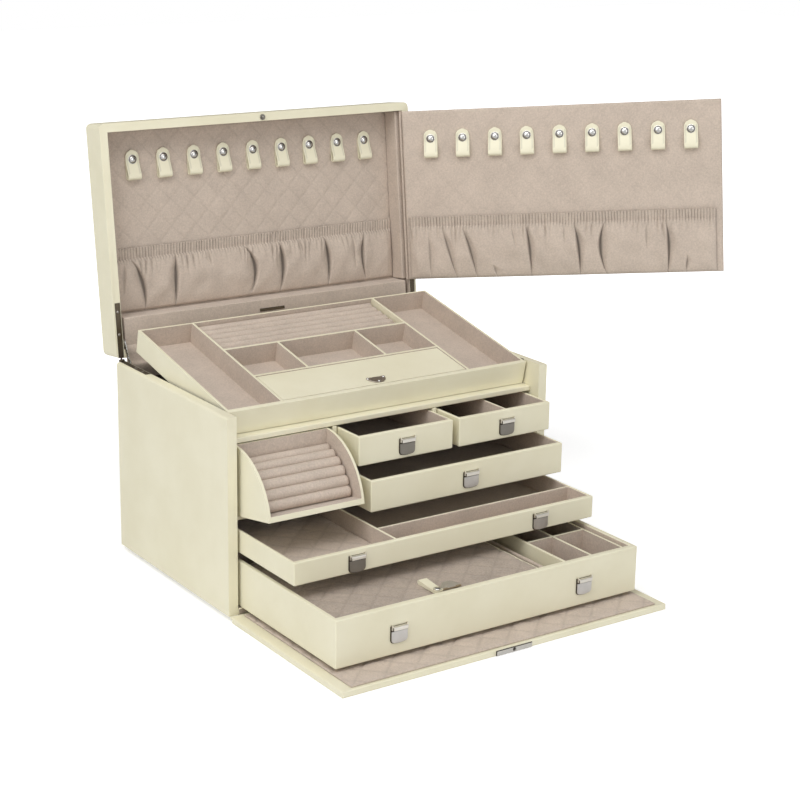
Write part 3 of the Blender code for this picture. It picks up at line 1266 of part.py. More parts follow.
def travel_pull(hinge, front, base):
    """Half-round plated pull that stands up at the rear from a narrow foot along its straight edge."""
    points = arc((0.0, 0.0), TRAVEL_PULL_RADIUS, 0.0, math.pi, 12)
    seat = shift(TRAVEL_PULL_X, front, base) @ Matrix.Rotation(TRAVEL_PULL_TILT, 4, "X")
    mesh = outline_mesh("travel_case_pull", points, TRAVEL_PULL_THICKNESS,
                        seat @ shift(0.0, 0.0, TRAVEL_PULL_THICKNESS / 2))
    item = place("travel_case_pull", mesh, PLATED, hinge)
    join(item, box_mesh("foot", (TRAVEL_PULL_X - TRAVEL_PULL_RADIUS, front - TRAVEL_PULL_FOOT / 2, base),
                        (TRAVEL_PULL_X + TRAVEL_PULL_RADIUS, front + TRAVEL_PULL_FOOT / 2,
                         base + TRAVEL_PULL_FOOT)))


def insert_tray(slide, seat):
    """Open insert at the right of the deep drawer with four cells."""
    floor = DRAWER_FLOOR + FIT_GAP
    front = DEEP_FRONT + FIT_GAP
    rear = front + TRAVEL_DEPTH
    top = INSERT_TOP - seat
    item = board("insert_tray", (INSERT_LEFT, front, floor), (INSERT_RIGHT, rear, top), LEATHER, slide,
                 LEATHER_EDGE / 2)
    half = INSERT_WALL / 2
    cross = INSERT_CROSS_FROM_FRONT
    cells = []
    for left, right in ((INSERT_LEFT + INSERT_WALL, INSERT_DIVIDER_X - half),
                        (INSERT_DIVIDER_X + half, INSERT_RIGHT - INSERT_WALL)):
        for near, far in ((front + INSERT_WALL, cross - half), (cross + half, rear - INSERT_WALL)):
            cells.append(box_mesh("cell", (left, near, floor + INSERT_WALL),
                                  (right, far, top + CUT_OVERRUN)))
    cut(item, join_meshes("insert_cells", cells))


# Door, modelled lying open

def door_pieces():
    """Drop-down front: leather board, quilted pad, hinge roll and lock plate."""
    axis_y = FRONT_Y - DOOR_AXIS_AHEAD
    roll = place("door_hinge_roll",
                 rod_mesh("roll", DOOR_ROLL_RADIUS, DOOR_HALF_WIDTH * 2 - FIT_GAP * 2,
                          (0.0, axis_y, -DOOR_AXIS_DROP), "X", 14), LEATHER)
    shade_round(roll)
    swing = joint_empty("door_axis", (0.0, axis_y, -DOOR_AXIS_DROP))
    rear = DOOR_AXIS_AHEAD - DOOR_REAR_AHEAD
    top = DOOR_TOP + DOOR_AXIS_DROP
    front = rear - DOOR_LENGTH
    board("door_board", (-DOOR_HALF_WIDTH, front, top - DOOR_THICKNESS), (DOOR_HALF_WIDTH, rear, top),
          LEATHER, swing)
    quilted("door_pad", swing, (-DOOR_PAD_HALF_WIDTH, front + DOOR_PAD_EDGE),
            (DOOR_PAD_HALF_WIDTH, rear - DOOR_PAD_REAR), top + FIT_GAP, DOOR_PAD_HEIGHT)
    plate_front = front - FIT_GAP - LOCK_PLATE_THICKNESS
    middle_z = top - DOOR_THICKNESS / 2
    plate = place("lock_plate",
                  box_mesh("lock_plate",
                           (-LOCK_PLATE_WIDTH / 2, plate_front, middle_z - LOCK_PLATE_HEIGHT / 2),
                           (LOCK_PLATE_WIDTH / 2, front - FIT_GAP, middle_z + LOCK_PLATE_HEIGHT / 2)),
                  PLATED, swing)
    cut(plate, rod_mesh("lock_hole", LOCK_HOLE_RADIUS, LOCK_PLATE_THICKNESS + CUT_OVERRUN,
                        (0.0, plate_front + LOCK_PLATE_THICKNESS / 2, middle_z), "Y", LOCK_SIDES))


def build():
    """Put the whole box together."""
    case_panels()
    case_shelves()
    case_hinge_leaves()
    lid = joint_empty("lid_axis", (0.0, LID_AXIS_Y, CASE_HEIGHT), -LID_OPEN_ANGLE)
    lid_shell(lid)
    lid_hinge_leaves(lid)
    lid_lining(lid)
    lid_pocket(lid)
    lid_apron(lid)
    lid_catch_pin(lid)
    wing_seat(lid)
    wing = joint_empty("wing_axis", (WING_AXIS_X, 0.0, WING_AXIS_RISE), -WING_REST_ANGLE, "Y", lid)
    wing_pieces(wing)
    stay_arms()
    tray_y = FRONT_Y + TRAY_FRONT_SETBACK + TRAY_PIVOT_IN
    tray = joint_empty("tray_axis", (0.0, tray_y, DECK_TOP + TRAY_LIFT + TRAY_PIVOT_UP), TRAY_TILT)
    tray_body(tray)
    tray_rolls(tray)
    tray_lid_pieces(tray)
    tip = joint_empty("ring_bin_axis", (0.0, SHELF_FRONT_Y + BIN_PIVOT_IN, BIN_PIVOT_HEIGHT),
                      BIN_OPEN_ANGLE)
    ring_bin(tip)
    ring_bin_rolls(tip)
    small_drawers()
    shallow_drawer()
    deep_drawer()
    door_pieces()
    bpy.context.view_layer.update()


build()
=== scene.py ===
"""Tiered jewelry box in cream leather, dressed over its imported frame."""
import math

import bmesh
import bpy
from mathutils import Matrix, Vector, noise


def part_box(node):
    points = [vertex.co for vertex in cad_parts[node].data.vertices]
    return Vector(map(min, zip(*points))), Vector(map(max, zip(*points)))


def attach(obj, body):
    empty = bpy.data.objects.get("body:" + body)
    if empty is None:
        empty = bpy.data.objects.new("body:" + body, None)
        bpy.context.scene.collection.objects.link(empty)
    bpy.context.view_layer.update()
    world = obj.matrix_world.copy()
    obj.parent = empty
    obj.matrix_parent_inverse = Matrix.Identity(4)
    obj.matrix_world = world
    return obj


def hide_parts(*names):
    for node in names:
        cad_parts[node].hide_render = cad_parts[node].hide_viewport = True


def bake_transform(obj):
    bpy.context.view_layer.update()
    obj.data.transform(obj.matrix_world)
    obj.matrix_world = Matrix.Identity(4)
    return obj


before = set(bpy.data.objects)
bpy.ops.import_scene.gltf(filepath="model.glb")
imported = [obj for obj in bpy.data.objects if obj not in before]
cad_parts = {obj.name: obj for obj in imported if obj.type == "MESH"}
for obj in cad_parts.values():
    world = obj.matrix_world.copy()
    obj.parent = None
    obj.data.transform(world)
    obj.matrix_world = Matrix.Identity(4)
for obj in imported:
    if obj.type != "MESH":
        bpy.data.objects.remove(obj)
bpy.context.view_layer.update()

# Camera and table
# The box stands on a plain white table. The camera looks from the front left, a little above,
# with a long lens, as in the photograph.
TABLE_HEIGHT = -0.0061
CAMERA_PLACE = (-1.1059, -1.7353, 0.7840)
CAMERA_AZIMUTH = math.radians(-34.651)
CAMERA_ELEVATION = math.radians(16.445)
CAMERA_ROLL = math.radians(1.023)
FOCAL_PIXELS = 1866.73
IMAGE_WIDTH = 800
SENSOR_WIDTH = 36.0


def new_object(name, data):
    """An object in the scene."""
    item = bpy.data.objects.new(name, data)
    bpy.context.scene.collection.objects.link(item)
    return item


lens = bpy.data.cameras.new("camera")
lens.sensor_width = SENSOR_WIDTH
lens.lens = FOCAL_PIXELS * SENSOR_WIDTH / IMAGE_WIDTH
back = Vector((math.sin(CAMERA_AZIMUTH) * math.cos(CAMERA_ELEVATION),
               -math.cos(CAMERA_AZIMUTH) * math.cos(CAMERA_ELEVATION), math.sin(CAMERA_ELEVATION)))
level = Vector((0, 0, 1)).cross(back).normalized()
upright = back.cross(level)
axes = Matrix((level * math.cos(CAMERA_ROLL) + upright * math.sin(CAMERA_ROLL),
               upright * math.cos(CAMERA_ROLL) - level * math.sin(CAMERA_ROLL), back))
camera = new_object("camera", lens)
camera.matrix_world = Matrix.Translation(CAMERA_PLACE) @ axes.transposed().to_4x4()
bpy.context.scene.camera = camera
bpy.context.scene.view_settings.view_transform = "Standard"


def new_mesh(name, shape, *surfaces, solid=True):
    """The mesh of a finished shape, with its materials. A solid's faces are turned outwards."""
    if solid:
        bmesh.ops.recalc_face_normals(shape, faces=shape.faces)
    mesh = bpy.data.meshes.new(name)
    shape.to_mesh(mesh)
    shape.free()
    for surface in surfaces:
        mesh.materials.append(surface)
    return mesh


def new_surface(name):
    """A material, its nodes, its shader and the place of a point in its piece's own space."""
    material = bpy.data.materials.new(name)
    material.use_nodes = True
    nodes = material.node_tree.nodes
    place = nodes.new("ShaderNodeTexCoord").outputs["Object"]
    return material, material.node_tree, nodes["Principled BSDF"], place


def set_inputs(node, values):
    """Give a node's inputs their values."""
    for name, value in values.items():
        node.inputs[name].default_value = value


def add_node(tree, kind, values, operation=None):
    """A node with the values of its inputs."""
    node = tree.nodes.new(kind)
    if operation:
        node.operation = operation
    set_inputs(node, values)
    return node


def wire(tree, *links):
    """Join pairs of sockets."""
    for source, target in links:
        tree.links.new(source, target)


def ranged(tree, value, low, high, start=0.0, end=1.0):
    """A value carried from one range to another."""
    node = add_node(tree, "ShaderNodeMapRange",
                    {"From Min": start, "From Max": end, "To Min": low, "To Max": high})
    wire(tree, (value, node.inputs["Value"]))
    return node.outputs["Result"]


# The table glows to the camera, less near the box, so that only the box's soft shadow shows on it.
TABLE_HALF = 6.0
GLOW_NEAR = 0.40
GLOW_STARTS = 0.45
GLOW_ENDS = 1.1
WHITE = (1.0, 1.0, 1.0, 1.0)
table_white, table_tree, table_shader, table_place = new_surface("table_white")
set_inputs(table_shader, {"Base Color": (0.93, 0.93, 0.93, 1.0), "Roughness": 0.9,
                          "Specular IOR Level": 0.1, "Emission Color": WHITE})
table_path = table_tree.nodes.new("ShaderNodeLightPath")
table_reach = add_node(table_tree, "ShaderNodeVectorMath", {}, "LENGTH")
table_glow = add_node(table_tree, "ShaderNodeMath", {}, "MULTIPLY")
table_fade = ranged(table_tree, table_reach.outputs["Value"], GLOW_NEAR, 1.0, GLOW_STARTS, GLOW_ENDS)
wire(table_tree, (table_place, table_reach.inputs[0]),
     (table_fade, table_glow.inputs[1]),
     (table_path.outputs["Is Camera Ray"], table_glow.inputs[0]),
     (table_glow.outputs[0], table_shader.inputs["Emission Strength"]))
table_shape = bmesh.new()
bmesh.ops.create_grid(table_shape, x_segments=1, y_segments=1, size=TABLE_HALF)
table = new_object("table", new_mesh("table", table_shape, table_white, solid=False))
table.location = (0.0, 0.0, TABLE_HEIGHT)

# The studio round the box is white to the camera and softer as a light. Polished metal mirrors it
# bright towards the lit side and dark towards the other.
LIT_SIDE = (-0.84, -0.52, 0.12)
STUDIO_LEVEL = 0.43
world = bpy.data.worlds.new("studio")
bpy.context.scene.world = world
world.use_nodes = True
sky_tree = world.node_tree
sky = sky_tree.nodes["Background"]
set_inputs(sky, {"Color": WHITE})
sky_path = sky_tree.nodes.new("ShaderNodeLightPath")
sky_way = sky_tree.nodes.new("ShaderNodeTexCoord")
sky_side = add_node(sky_tree, "ShaderNodeVectorMath", {1: LIT_SIDE}, "DOT_PRODUCT")
sky_pick = sky_tree.nodes.new("ShaderNodeMix")
wire(sky_tree, (sky_way.outputs["Generated"], sky_side.inputs[0]),
     (sky_path.outputs["Is Glossy Ray"], sky_pick.inputs["Factor"]),
     (ranged(sky_tree, sky_path.outputs["Is Camera Ray"], STUDIO_LEVEL, 1.0), sky_pick.inputs["A"]),
     (ranged(sky_tree, sky_side.outputs["Value"], 0.10, 1.05, -0.30, 0.25), sky_pick.inputs["B"]),
     (sky_pick.outputs["Result"], sky.inputs["Strength"]))

# Soft boxes as (name, place, aim, size, power)
for name, place, aim, size, power in (
        ("key_softbox", (-1.4, -0.7, 2.3), (0.0, 0.0, 0.15), 1.4, 22.5),
        ("side_softbox", (-2.3, -0.9, 1.3), (0.0, 0.0, 0.15), 1.6, 12.5),
        ("front_softbox", (0.4, -2.8, 0.7), (0.0, 0.0, 0.20), 1.4, 8.8),
        ("lid_softbox", (-0.2, -1.5, 2.6), (0.0, 0.1, 0.35), 1.2, 13.5)):
    light = bpy.data.lights.new(name, "AREA")
    light.size = size
    light.energy = power
    item = new_object(name, light)
    item.location = place
    item.rotation_euler = (Vector(aim) - Vector(place)).to_track_quat("-Z", "Y").to_euler()

# Leather boards of the case
# The case is board covered in smooth cream leather, turned over every edge. The inside faces of
# the side and back boards are lined with dark suede above the deck and behind the drawers. The
# lining, also on the shelves and deck, is painted darker still for the shade inside the case.
CREAM = (0.830, 0.788, 0.605)
CREAM_SHADE = (0.770, 0.722, 0.530)
TAUPE = (0.580, 0.487, 0.408)
# The second taupe is darker as painted shade
TAUPE_PAINTED_SHADE = (0.455, 0.378, 0.312)
DARK_TAUPE_AND_SHADE = (0.110, 0.088, 0.075)
LEATHER_PEBBLE = 1500.0
LEATHER_CLOUD = 14.0
SUEDE_NAP = 520.0
SUEDE_CLOUD = 38.0
# How dark stitching and painted crease shade make a surface at most
STITCH_AND_SHADE_TONE = 0.28
WELD = 0.000002


def texture(tree, scale, place, kind="Noise", **settings):
    """A texture at a scale."""
    node = add_node(tree, "ShaderNodeTex" + kind, {"Scale": scale, **settings})
    wire(tree, (place, node.inputs["Vector"]))
    return node


def between(tree, factor, low, high):
    """A colour between two, by a factor: each is a fixed colour or a socket."""
    blend = tree.nodes.new("ShaderNodeMix")
    blend.data_type = "RGBA"
    wire(tree, (factor, blend.inputs["Factor"]))
    for name, colour in (("A", low), ("B", high)):
        if isinstance(colour, tuple):
            set_inputs(blend, {name: (*colour, 1.0)})
        else:
            wire(tree, (colour, blend.inputs[name]))
    return blend.outputs["Result"]


def darken_stitches_and_shade(tree, surface, colour, shader):
    """Darken a surface where its mesh is marked as sewn, and add painted shade where it is marked as
    creased.
    """
    stitch_and_shade = tree.nodes.new("ShaderNodeAttribute")
    stitch_and_shade.attribute_name = "stitch_and_shade"
    sewn = between(tree, stitch_and_shade.outputs["Fac"], surface, tuple(c * STITCH_AND_SHADE_TONE for c in colour))
    wire(tree, (sewn, shader.inputs["Base Color"]))


def bump(tree, height, strength, distance, shader):
    """Relief on a shader, over any relief that it has already."""
    node = add_node(tree, "ShaderNodeBump", {"Strength": strength, "Distance": distance})
    normal = shader.inputs["Normal"]
    if normal.is_linked:
        wire(tree, (normal.links[0].from_socket, node.inputs["Normal"]))
    wire(tree, (height, node.inputs["Height"]), (node.outputs["Normal"], normal))


def leather(name, colour, shade):
    """Smooth leather: a fine pebble, faint clouds in its colour and a soft sheen."""
    material, tree, shader, place = new_surface(name)
    cloud = texture(tree, LEATHER_CLOUD, place, Detail=4.0, Roughness=0.55)
    pebble = texture(tree, LEATHER_PEBBLE, place, "Voronoi")
    crease = texture(tree, LEATHER_PEBBLE / 3, place, Detail=3.0)
    tone = ranged(tree, cloud.outputs["Fac"], 0.0, 1.0, 0.35, 0.75)
    darken_stitches_and_shade(tree, between(tree, tone, colour, shade), colour, shader)
    wire(tree, (ranged(tree, crease.outputs["Fac"], 0.36, 0.52, 0.3, 0.7), shader.inputs["Roughness"]))
    bump(tree, pebble.outputs["Distance"], 0.10, 0.0002, shader)
    bump(tree, crease.outputs["Fac"], 0.08, 0.0004, shader)
    set_inputs(shader, {"Specular IOR Level": 0.42, "Coat Weight": 0.08, "Coat Roughness": 0.35})
    return material


def suede(name, colour, depth=0.16):
    """Brushed suede: a short nap that lies in soft patches, dull, with a velvet edge."""
    material, tree, shader, place = new_surface(name)
    patch = texture(tree, SUEDE_CLOUD, place, Detail=5.0, Roughness=0.6)
    nap = texture(tree, SUEDE_NAP, place, Detail=3.0, Roughness=0.7)
    dark = tuple(c * (1.0 - depth) for c in colour)
    light = tuple(min(1.0, c * (1.0 + depth * 0.55)) for c in colour)
    both = add_node(tree, "ShaderNodeMath", {}, "ADD")
    wire(tree, (ranged(tree, nap.outputs["Fac"], -0.1, 0.6, 0.35, 0.65), both.inputs[0]),
         (ranged(tree, patch.outputs["Fac"], 0.0, 0.5, 0.3, 0.7), both.inputs[1]))
    darken_stitches_and_shade(tree, between(tree, both.outputs[0], dark, light), colour, shader)
    bump(tree, nap.outputs["Fac"], 0.22, 0.00025, shader)
    set_inputs(shader, {"Roughness": 0.96, "Specular IOR Level": 0.12, "Sheen Weight": 0.18,
                        "Sheen Roughness": 0.5})
    return material


cream_leather = leather("cream_leather", CREAM, CREAM_SHADE)
taupe_suede = suede("taupe_suede", TAUPE)
# A darker copy of the taupe suede, as painted shade: on the case floor, the hinge cloth's lower rows and
# the travel case's lid.
painted_shade_suede = suede("painted_shade_suede", TAUPE_PAINTED_SHADE, 0.22)
dark_suede_and_shade = suede("dark_suede_and_shade", DARK_TAUPE_AND_SHADE)


def piece(name, mesh, body, place=Matrix.Identity(4)):
    """A finished piece at its place, riding on a body."""
    item = new_object(name, mesh)
    item.matrix_world = place
    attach(item, body)
    return item


def round_edges(item, width, segments, angle=30.0, harden=False):
    """Soften a piece's edges where its faces turn by more than an angle in degrees."""
    rounding = item.modifiers.new("turned_edges", "BEVEL")
    rounding.width = width
    rounding.segments = segments
    rounding.limit_method = "ANGLE"
    rounding.angle_limit = math.radians(angle)
    rounding.harden_normals = harden


def turned(node, body, edge, steps=3, surfaces=(cream_leather,), lining=None, into=Matrix.Identity(4),
           suffix="_leather", slot="cream_leather", split=(), merge=True):
    """A board's own shape with its covering turned softly over the edges.

    lining is a test that picks the faces that take the second surface, given a face's middle and
    normal in the space of the matrix into. split lists planes, as a point and a normal, along
    which the two coverings meet.
    """
    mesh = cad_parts[node].data.copy()
    mesh.materials.clear()
    for surface in surfaces:
        mesh.materials.append(surface)
    shape = bmesh.new()
    shape.from_mesh(mesh)
    bmesh.ops.remove_doubles(shape, verts=shape.verts, dist=WELD)
    if merge:
        bmesh.ops.dissolve_limit(shape, angle_limit=math.radians(0.5), verts=shape.verts,
                                 edges=shape.edges)
    for point, normal in split:
        bmesh.ops.bisect_plane(shape, geom=shape.verts[:] + shape.edges[:] + shape.faces[:],
                               plane_co=point, plane_no=normal)
    back = into.inverted()
    for face in shape.faces:
        face.smooth = False
        if lining is not None:
            middle = back @ face.calc_center_median()
            normal = back.to_3x3() @ face.normal
            face.material_index = 1 if lining(middle, normal) else 0
    shape.to_mesh(mesh)
    shape.free()
    item = piece(node + suffix, mesh, body)
    if edge:
        round_edges(item, edge, steps, 35.0, True)
    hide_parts(node)
    return item


# The leather's rounding at the edges, where the lining starts, and how squarely a face looks one way
PANEL_EDGE = 0.0016
BOARD_EDGE = 0.0012
SHELF_EDGE = 0.0010
LINED_FROM = -0.098
FACING = 0.9
# The second surface is dark suede, painted darker still as shade
two_tone = (cream_leather, dark_suede_and_shade)
lined = [((0.0, LINED_FROM, 0.0), (0.0, 1.0, 0.0))]
for side, inward in (("left", 1), ("right", -1)):
    turned(f"side_panel_{side}", "case", PANEL_EDGE, surfaces=two_tone, split=lined,
           lining=lambda p, n: inward * n.x > FACING and p.y > LINED_FROM)
turned("back_panel", "case", BOARD_EDGE, lining=lambda p, n: n.y < -FACING, surfaces=two_tone)
# The base panel's top and front faces take the darker suede as painted shade.
turned("base_panel", "case", BOARD_EDGE, lining=lambda p, n: n.z > FACING or n.y < -FACING,
       surfaces=(cream_leather, painted_shade_suede))
for node, axis in (("upper_shelf", 2), ("middle_shelf", 2), ("lower_shelf", 2), ("tray_deck", 2),
                   ("ring_bay_divider", 0), ("small_drawer_divider", 0)):
    turned(node, "case", SHELF_EDGE, surfaces=two_tone, split=lined,
           lining=lambda p, n: abs(n[axis]) > FACING and p.y > LINED_FROM)
for foot in ("front_left", "front_right", "rear_left", "rear_right"):
    turned(f"foot_{foot}", "case", BOARD_EDGE)

# Lid
# A deep leather lid on two strap hinges. Its recess is lined with quilted suede, and it carries the
# snap hooks, the gathered pocket, the wing's hinge block and the suede apron at its foot.
LID_AXIS_Y = 0.1299
CASE_HEIGHT = 0.220
LID_OPEN = math.radians(96.5)
LINING_FACE = 0.029
lid_space = Matrix.Translation((0.0, LID_AXIS_Y, CASE_HEIGHT)) @ Matrix.Rotation(-LID_OPEN, 4, "X")
RECESS_HALF = 0.1988
RECESS_FRONT = -0.2578
RECESS_REAR = -0.0123
RIM_DEPTH = 0.0006


def in_recess(point, normal):
    """Walls and floor of the lid's recess, which face inwards or down at the closed case."""
    inside = abs(point.x) < RECESS_HALF and RECESS_FRONT < point.y < RECESS_REAR
    return inside and point.z > RIM_DEPTH and normal.z < 0.5


turned("lid_shell", "lid", 0.0011, surfaces=(cream_leather, taupe_suede), lining=in_recess,
       into=lid_space, merge=False)
for node, edge in (("lid_apron", 0.0014), ("wing_hinge_block", 0.0010), ("wing_hinge_bead", 0.0)):
    turned(node, "lid", edge, surfaces=(taupe_suede,), suffix="_suede", slot="taupe_suede")


def quilt_dip(x, y, pitch, line):
    """How near a place is to the diagonal stitch lines, from 0 to 1."""
    nearest = 0.0
    for along in (x + y, x - y):
        share = along / (pitch * math.sqrt(2.0))
        off = abs(share - round(share)) * pitch
        nearest = max(nearest, math.exp(-(off / line) ** 2))
    return nearest


def mark_stitches_and_shade(mesh, shades):
    """Store for each point, from 0 to 1, how much its stitching and its painted crease shade darken it,
    for the darkening step of its surface.
    """
    stitch_and_shade = mesh.attributes.new("stitch_and_shade", "FLOAT", "POINT")
    stitch_and_shade.data.foreach_set("value", shades)


QUILT_ROUND = 0.0012


def quilted_panel(name, low, high, thickness, pitch, step, crown, line, thread, puff=0.0, wrinkle=0.0,
                  binding=0.0, surface=taupe_suede):
    """A padded panel in its own space: quilted top at z = thickness, drawn-in rim, flat back at 0.

    The faces within the binding of its edge are leather.
    """
    width = high[0] - low[0]
    depth = high[1] - low[1]
    count_x = max(4, round(width / step))
    count_y = max(4, round(depth / step))
    shape = bmesh.new()
    bmesh.ops.create_grid(shape, x_segments=count_x, y_segments=count_y, size=0.5)
    stitched = []
    for vert in shape.verts:
        x = low[0] + (vert.co.x + 0.5) * width
        y = low[1] + (vert.co.y + 0.5) * depth
        from_rim = min(x - low[0], high[0] - x, y - low[1], high[1] - y)
        ease = min(1.0, from_rim / QUILT_ROUND)
        drop = QUILT_ROUND * (1.0 - math.sqrt(max(0.0, 1.0 - (1.0 - ease) ** 2)))
        near = quilt_dip(x, y, pitch, line)
        wide = quilt_dip(x, y, pitch, pitch * 0.22)
        pucker = noise.noise(Vector((x, y, 0.3)) * 140.0) * (0.25 + near)
        crease = abs(noise.noise(Vector((x * 34.0 + y * 21.0, y * 46.0 - x * 15.0, 1.7))))
        fold = abs(noise.noise(Vector((x * 60.0 - y * 42.0, y * 75.0 + x * 30.0, 5.1))))
        swell = 0.0003 * noise.noise(Vector((x, y, 0.3)) * 45.0) + puff * 0.22 * pucker
        swell -= wrinkle * (1.3 * max(0.0, 1.0 - crease * 7.0) + 0.7 * max(0.0, 1.0 - fold * 6.0))
        sunk = crown * near + puff * wide
        vert.co = (x, y, thickness - sunk * ease + swell * ease - drop)
        stitched.append(near * thread)
    rim = [edge for edge in shape.edges if edge.is_boundary]
    grown = bmesh.ops.extrude_edge_only(shape, edges=rim)
    ring = [item for item in grown["geom"] if isinstance(item, bmesh.types.BMVert)]
    for vert in ring:
        vert.co.z = 0.0
    kept = set(ring)
    edges = [item for item in grown["geom"] if isinstance(item, bmesh.types.BMEdge)
             and all(vert in kept for vert in item.verts)]
    bmesh.ops.contextual_create(shape, geom=edges)
    for face in shape.faces:
        face.smooth = len(face.verts) == 4
        middle = face.calc_center_median()
        from_edge = min(middle.x - low[0], high[0] - middle.x, middle.y - low[1], high[1] - middle.y)
        face.material_index = 1 if from_edge < binding else 0
    mesh = new_mesh(name, shape, surface, cream_leather)
    mark_stitches_and_shade(mesh, stitched + [0.0] * len(ring))
    return mesh


QUILT_PITCH = 0.0225
QUILT_STITCH = 0.0010
LINING_STEP = 0.0016
LINING_THICKNESS = 0.0017
lining_mesh = quilted_panel("lid_lining_quilt", (-0.1982, -0.2572), (0.1982, -0.0129), LINING_THICKNESS,
                            QUILT_PITCH, LINING_STEP, crown=0.00070, line=QUILT_STITCH, thread=0.08)
lining_mesh.transform(lid_space @ Matrix.Translation((0.0, 0.0, LINING_FACE + LINING_THICKNESS))
                      @ Matrix.Scale(-1.0, 4, (0, 0, 1)))
lining_mesh.flip_normals()
lid_lining = piece("lid_lining_quilt", lining_mesh, "lid")
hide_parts("lid_lining")

# Snap hooks
# Nine short leather straps on the lid lining and nine on the wing hold necklaces. Each is folded
# back on itself round a small loop and closed with a plated snap near its round end.
HOOK_COUNT = 9
HOOK_PITCH = 0.0394
HOOK_HALF = 0.0083
HOOK_LENGTH = 0.0338
HOOK_LEATHER = 0.0011
HOOK_LOOP = 0.0031
HOOK_GAP = 0.0001
HOOK_TIP_HALF = 0.0012
HOOK_STITCH_TONE = 0.30
SNAP_RADIUS = 0.0052
SNAP_FROM_TIP = 0.0108


def skin(shape, rows, closed=False):
    """Faces between rows of points, which may close to rings."""
    faces = []
    for before, after in zip(rows, rows[1:]):
        for i in range(len(before) if closed else len(before) - 1):
            j = (i + 1) % len(before)
            faces.append(shape.faces.new((before[i], after[i], after[j], before[j])))
    return faces


def hook_mesh(name):
    """The folded strap: y runs up from the fold, z stands out from the lining."""
    rear = HOOK_LEATHER / 2 + HOOK_GAP
    hidden = HOOK_LENGTH * 0.93
    path = [(hidden + (HOOK_LOOP - hidden) * share, rear) for share in (0.0, 0.25, 0.5, 0.75, 1.0)]
    for step in range(1, 9):
        angle = math.pi * step / 8
        path.append((HOOK_LOOP - HOOK_LOOP * math.sin(angle),
                     rear + HOOK_LOOP * (1.0 - math.cos(angle)) * 0.92))
    top = rear + HOOK_LEATHER * 1.05
    bulge = path[-1][1]
    for step in range(1, 15):
        share = step / 14
        y = HOOK_LOOP + (HOOK_LENGTH - HOOK_LOOP) * share
        lean = min(1.0, share / 0.62)
        ease = lean * lean * (3.0 - 2.0 * lean)
        path.append((y, bulge + (top - bulge) * ease))
    shape = bmesh.new()
    rows = []
    for y, z in path:
        from_end = HOOK_LENGTH - y
        half = HOOK_HALF
        if from_end < HOOK_HALF:
            half = math.sqrt(max(0.0, HOOK_HALF ** 2 - (HOOK_HALF - from_end) ** 2))
        half = max(half, HOOK_TIP_HALF)
        rows.append([shape.verts.new((half * (i / 5 - 1.0), y, z)) for i in range(11)])
    skin(shape, rows)
    mesh = new_mesh(name, shape, cream_leather)
    mesh.shade_smooth()
    stitched = range(14, len(path) - 3)
    mark_stitches_and_shade(mesh, [HOOK_STITCH_TONE if row in stitched and i in (1, 9) else 0.0
                      for row in range(len(path)) for i in range(11)])
    return mesh


def lathe_mesh(name, profile, sides, *surfaces):
    """A turned piece about Z from (radius, height) points, top to bottom down its outer side."""
    shape = bmesh.new()
    rings = []
    for radius, height in profile:
        if radius == 0.0:
            rings.append([shape.verts.new((0.0, 0.0, height))])
        else:
            rings.append([shape.verts.new((radius * math.cos(math.tau * i / sides),
                                           radius * math.sin(math.tau * i / sides), height))
                          for i in range(sides)])
    for before, after in zip(rings, rings[1:]):
        for i in range(sides):
            j = (i + 1) % sides
            ring = [before[i % len(before)], after[i % len(after)], after[j % len(after)],
                    before[j % len(before)]]
            corners = list(dict.fromkeys(ring))
            if len(corners) > 2:
                shape.faces.new(corners)
    mesh = new_mesh(name, shape, *surfaces)
    mesh.shade_smooth()
    mesh.set_sharp_from_angle(angle=math.radians(50))
    return mesh


METAL_GRAIN = (40.0, 2500.0, 40.0)
METAL_SMUDGE = 120.0


def metal(name, colour, rough, grain=0.0):
    """Plated metal with fine wear and, on flat plates, a brushed grain."""
    material, tree, shader, place = new_surface(name)
    stretch = add_node(tree, "ShaderNodeMapping", {"Scale": METAL_GRAIN})
    wire(tree, (place, stretch.inputs["Vector"]))
    line = texture(tree, 1.0, stretch.outputs["Vector"], Detail=4.0)
    smudge = texture(tree, METAL_SMUDGE, place, Detail=3.0)
    dark = tuple(c * 0.80 for c in colour)
    wire(tree, (between(tree, smudge.outputs["Fac"], dark, colour), shader.inputs["Base Color"]),
         (ranged(tree, line.outputs["Fac"], rough * 0.75, rough * 1.3, 0.3, 0.7),
          shader.inputs["Roughness"]))
    if grain:
        bump(tree, line.outputs["Fac"], grain, 0.0001, shader)
    set_inputs(shader, {"Metallic": 1.0})
    return material


snap_nickel = metal("snap_nickel", (0.62, 0.61, 0.59), 0.14)
painted_shade_metal = metal("painted_shade_metal", (0.10, 0.09, 0.08), 0.35)
hook_strap = hook_mesh("hook_strap")
snap_cap = lathe_mesh("snap_cap", [
    (0.0, 0.0024), (0.0014, 0.00230), (0.0026, 0.00198), (0.0035, 0.00150), (0.0040, 0.00100),
    (0.0041, 0.00060), (0.0045, 0.00060), (0.0046, 0.00095), (0.0049, 0.00095), (SNAP_RADIUS, 0.00070),
    (SNAP_RADIUS, 0.0)], 28, snap_nickel, painted_shade_metal)
# The groove ring round the dome is near black, a painted dark reflection and shade.
SNAP_GROOVE = (0.0039, 0.00455)
for polygon in snap_cap.polygons:
    reach = math.hypot(polygon.center.x, polygon.center.y)
    polygon.material_index = 1 if SNAP_GROOVE[0] < reach < SNAP_GROOVE[1] else 0


def thicken(item, thickness, offset):
    """Give a sheet its thickness."""
    thick = item.modifiers.new("thickness", "SOLIDIFY")
    thick.thickness = thickness
    thick.offset = offset


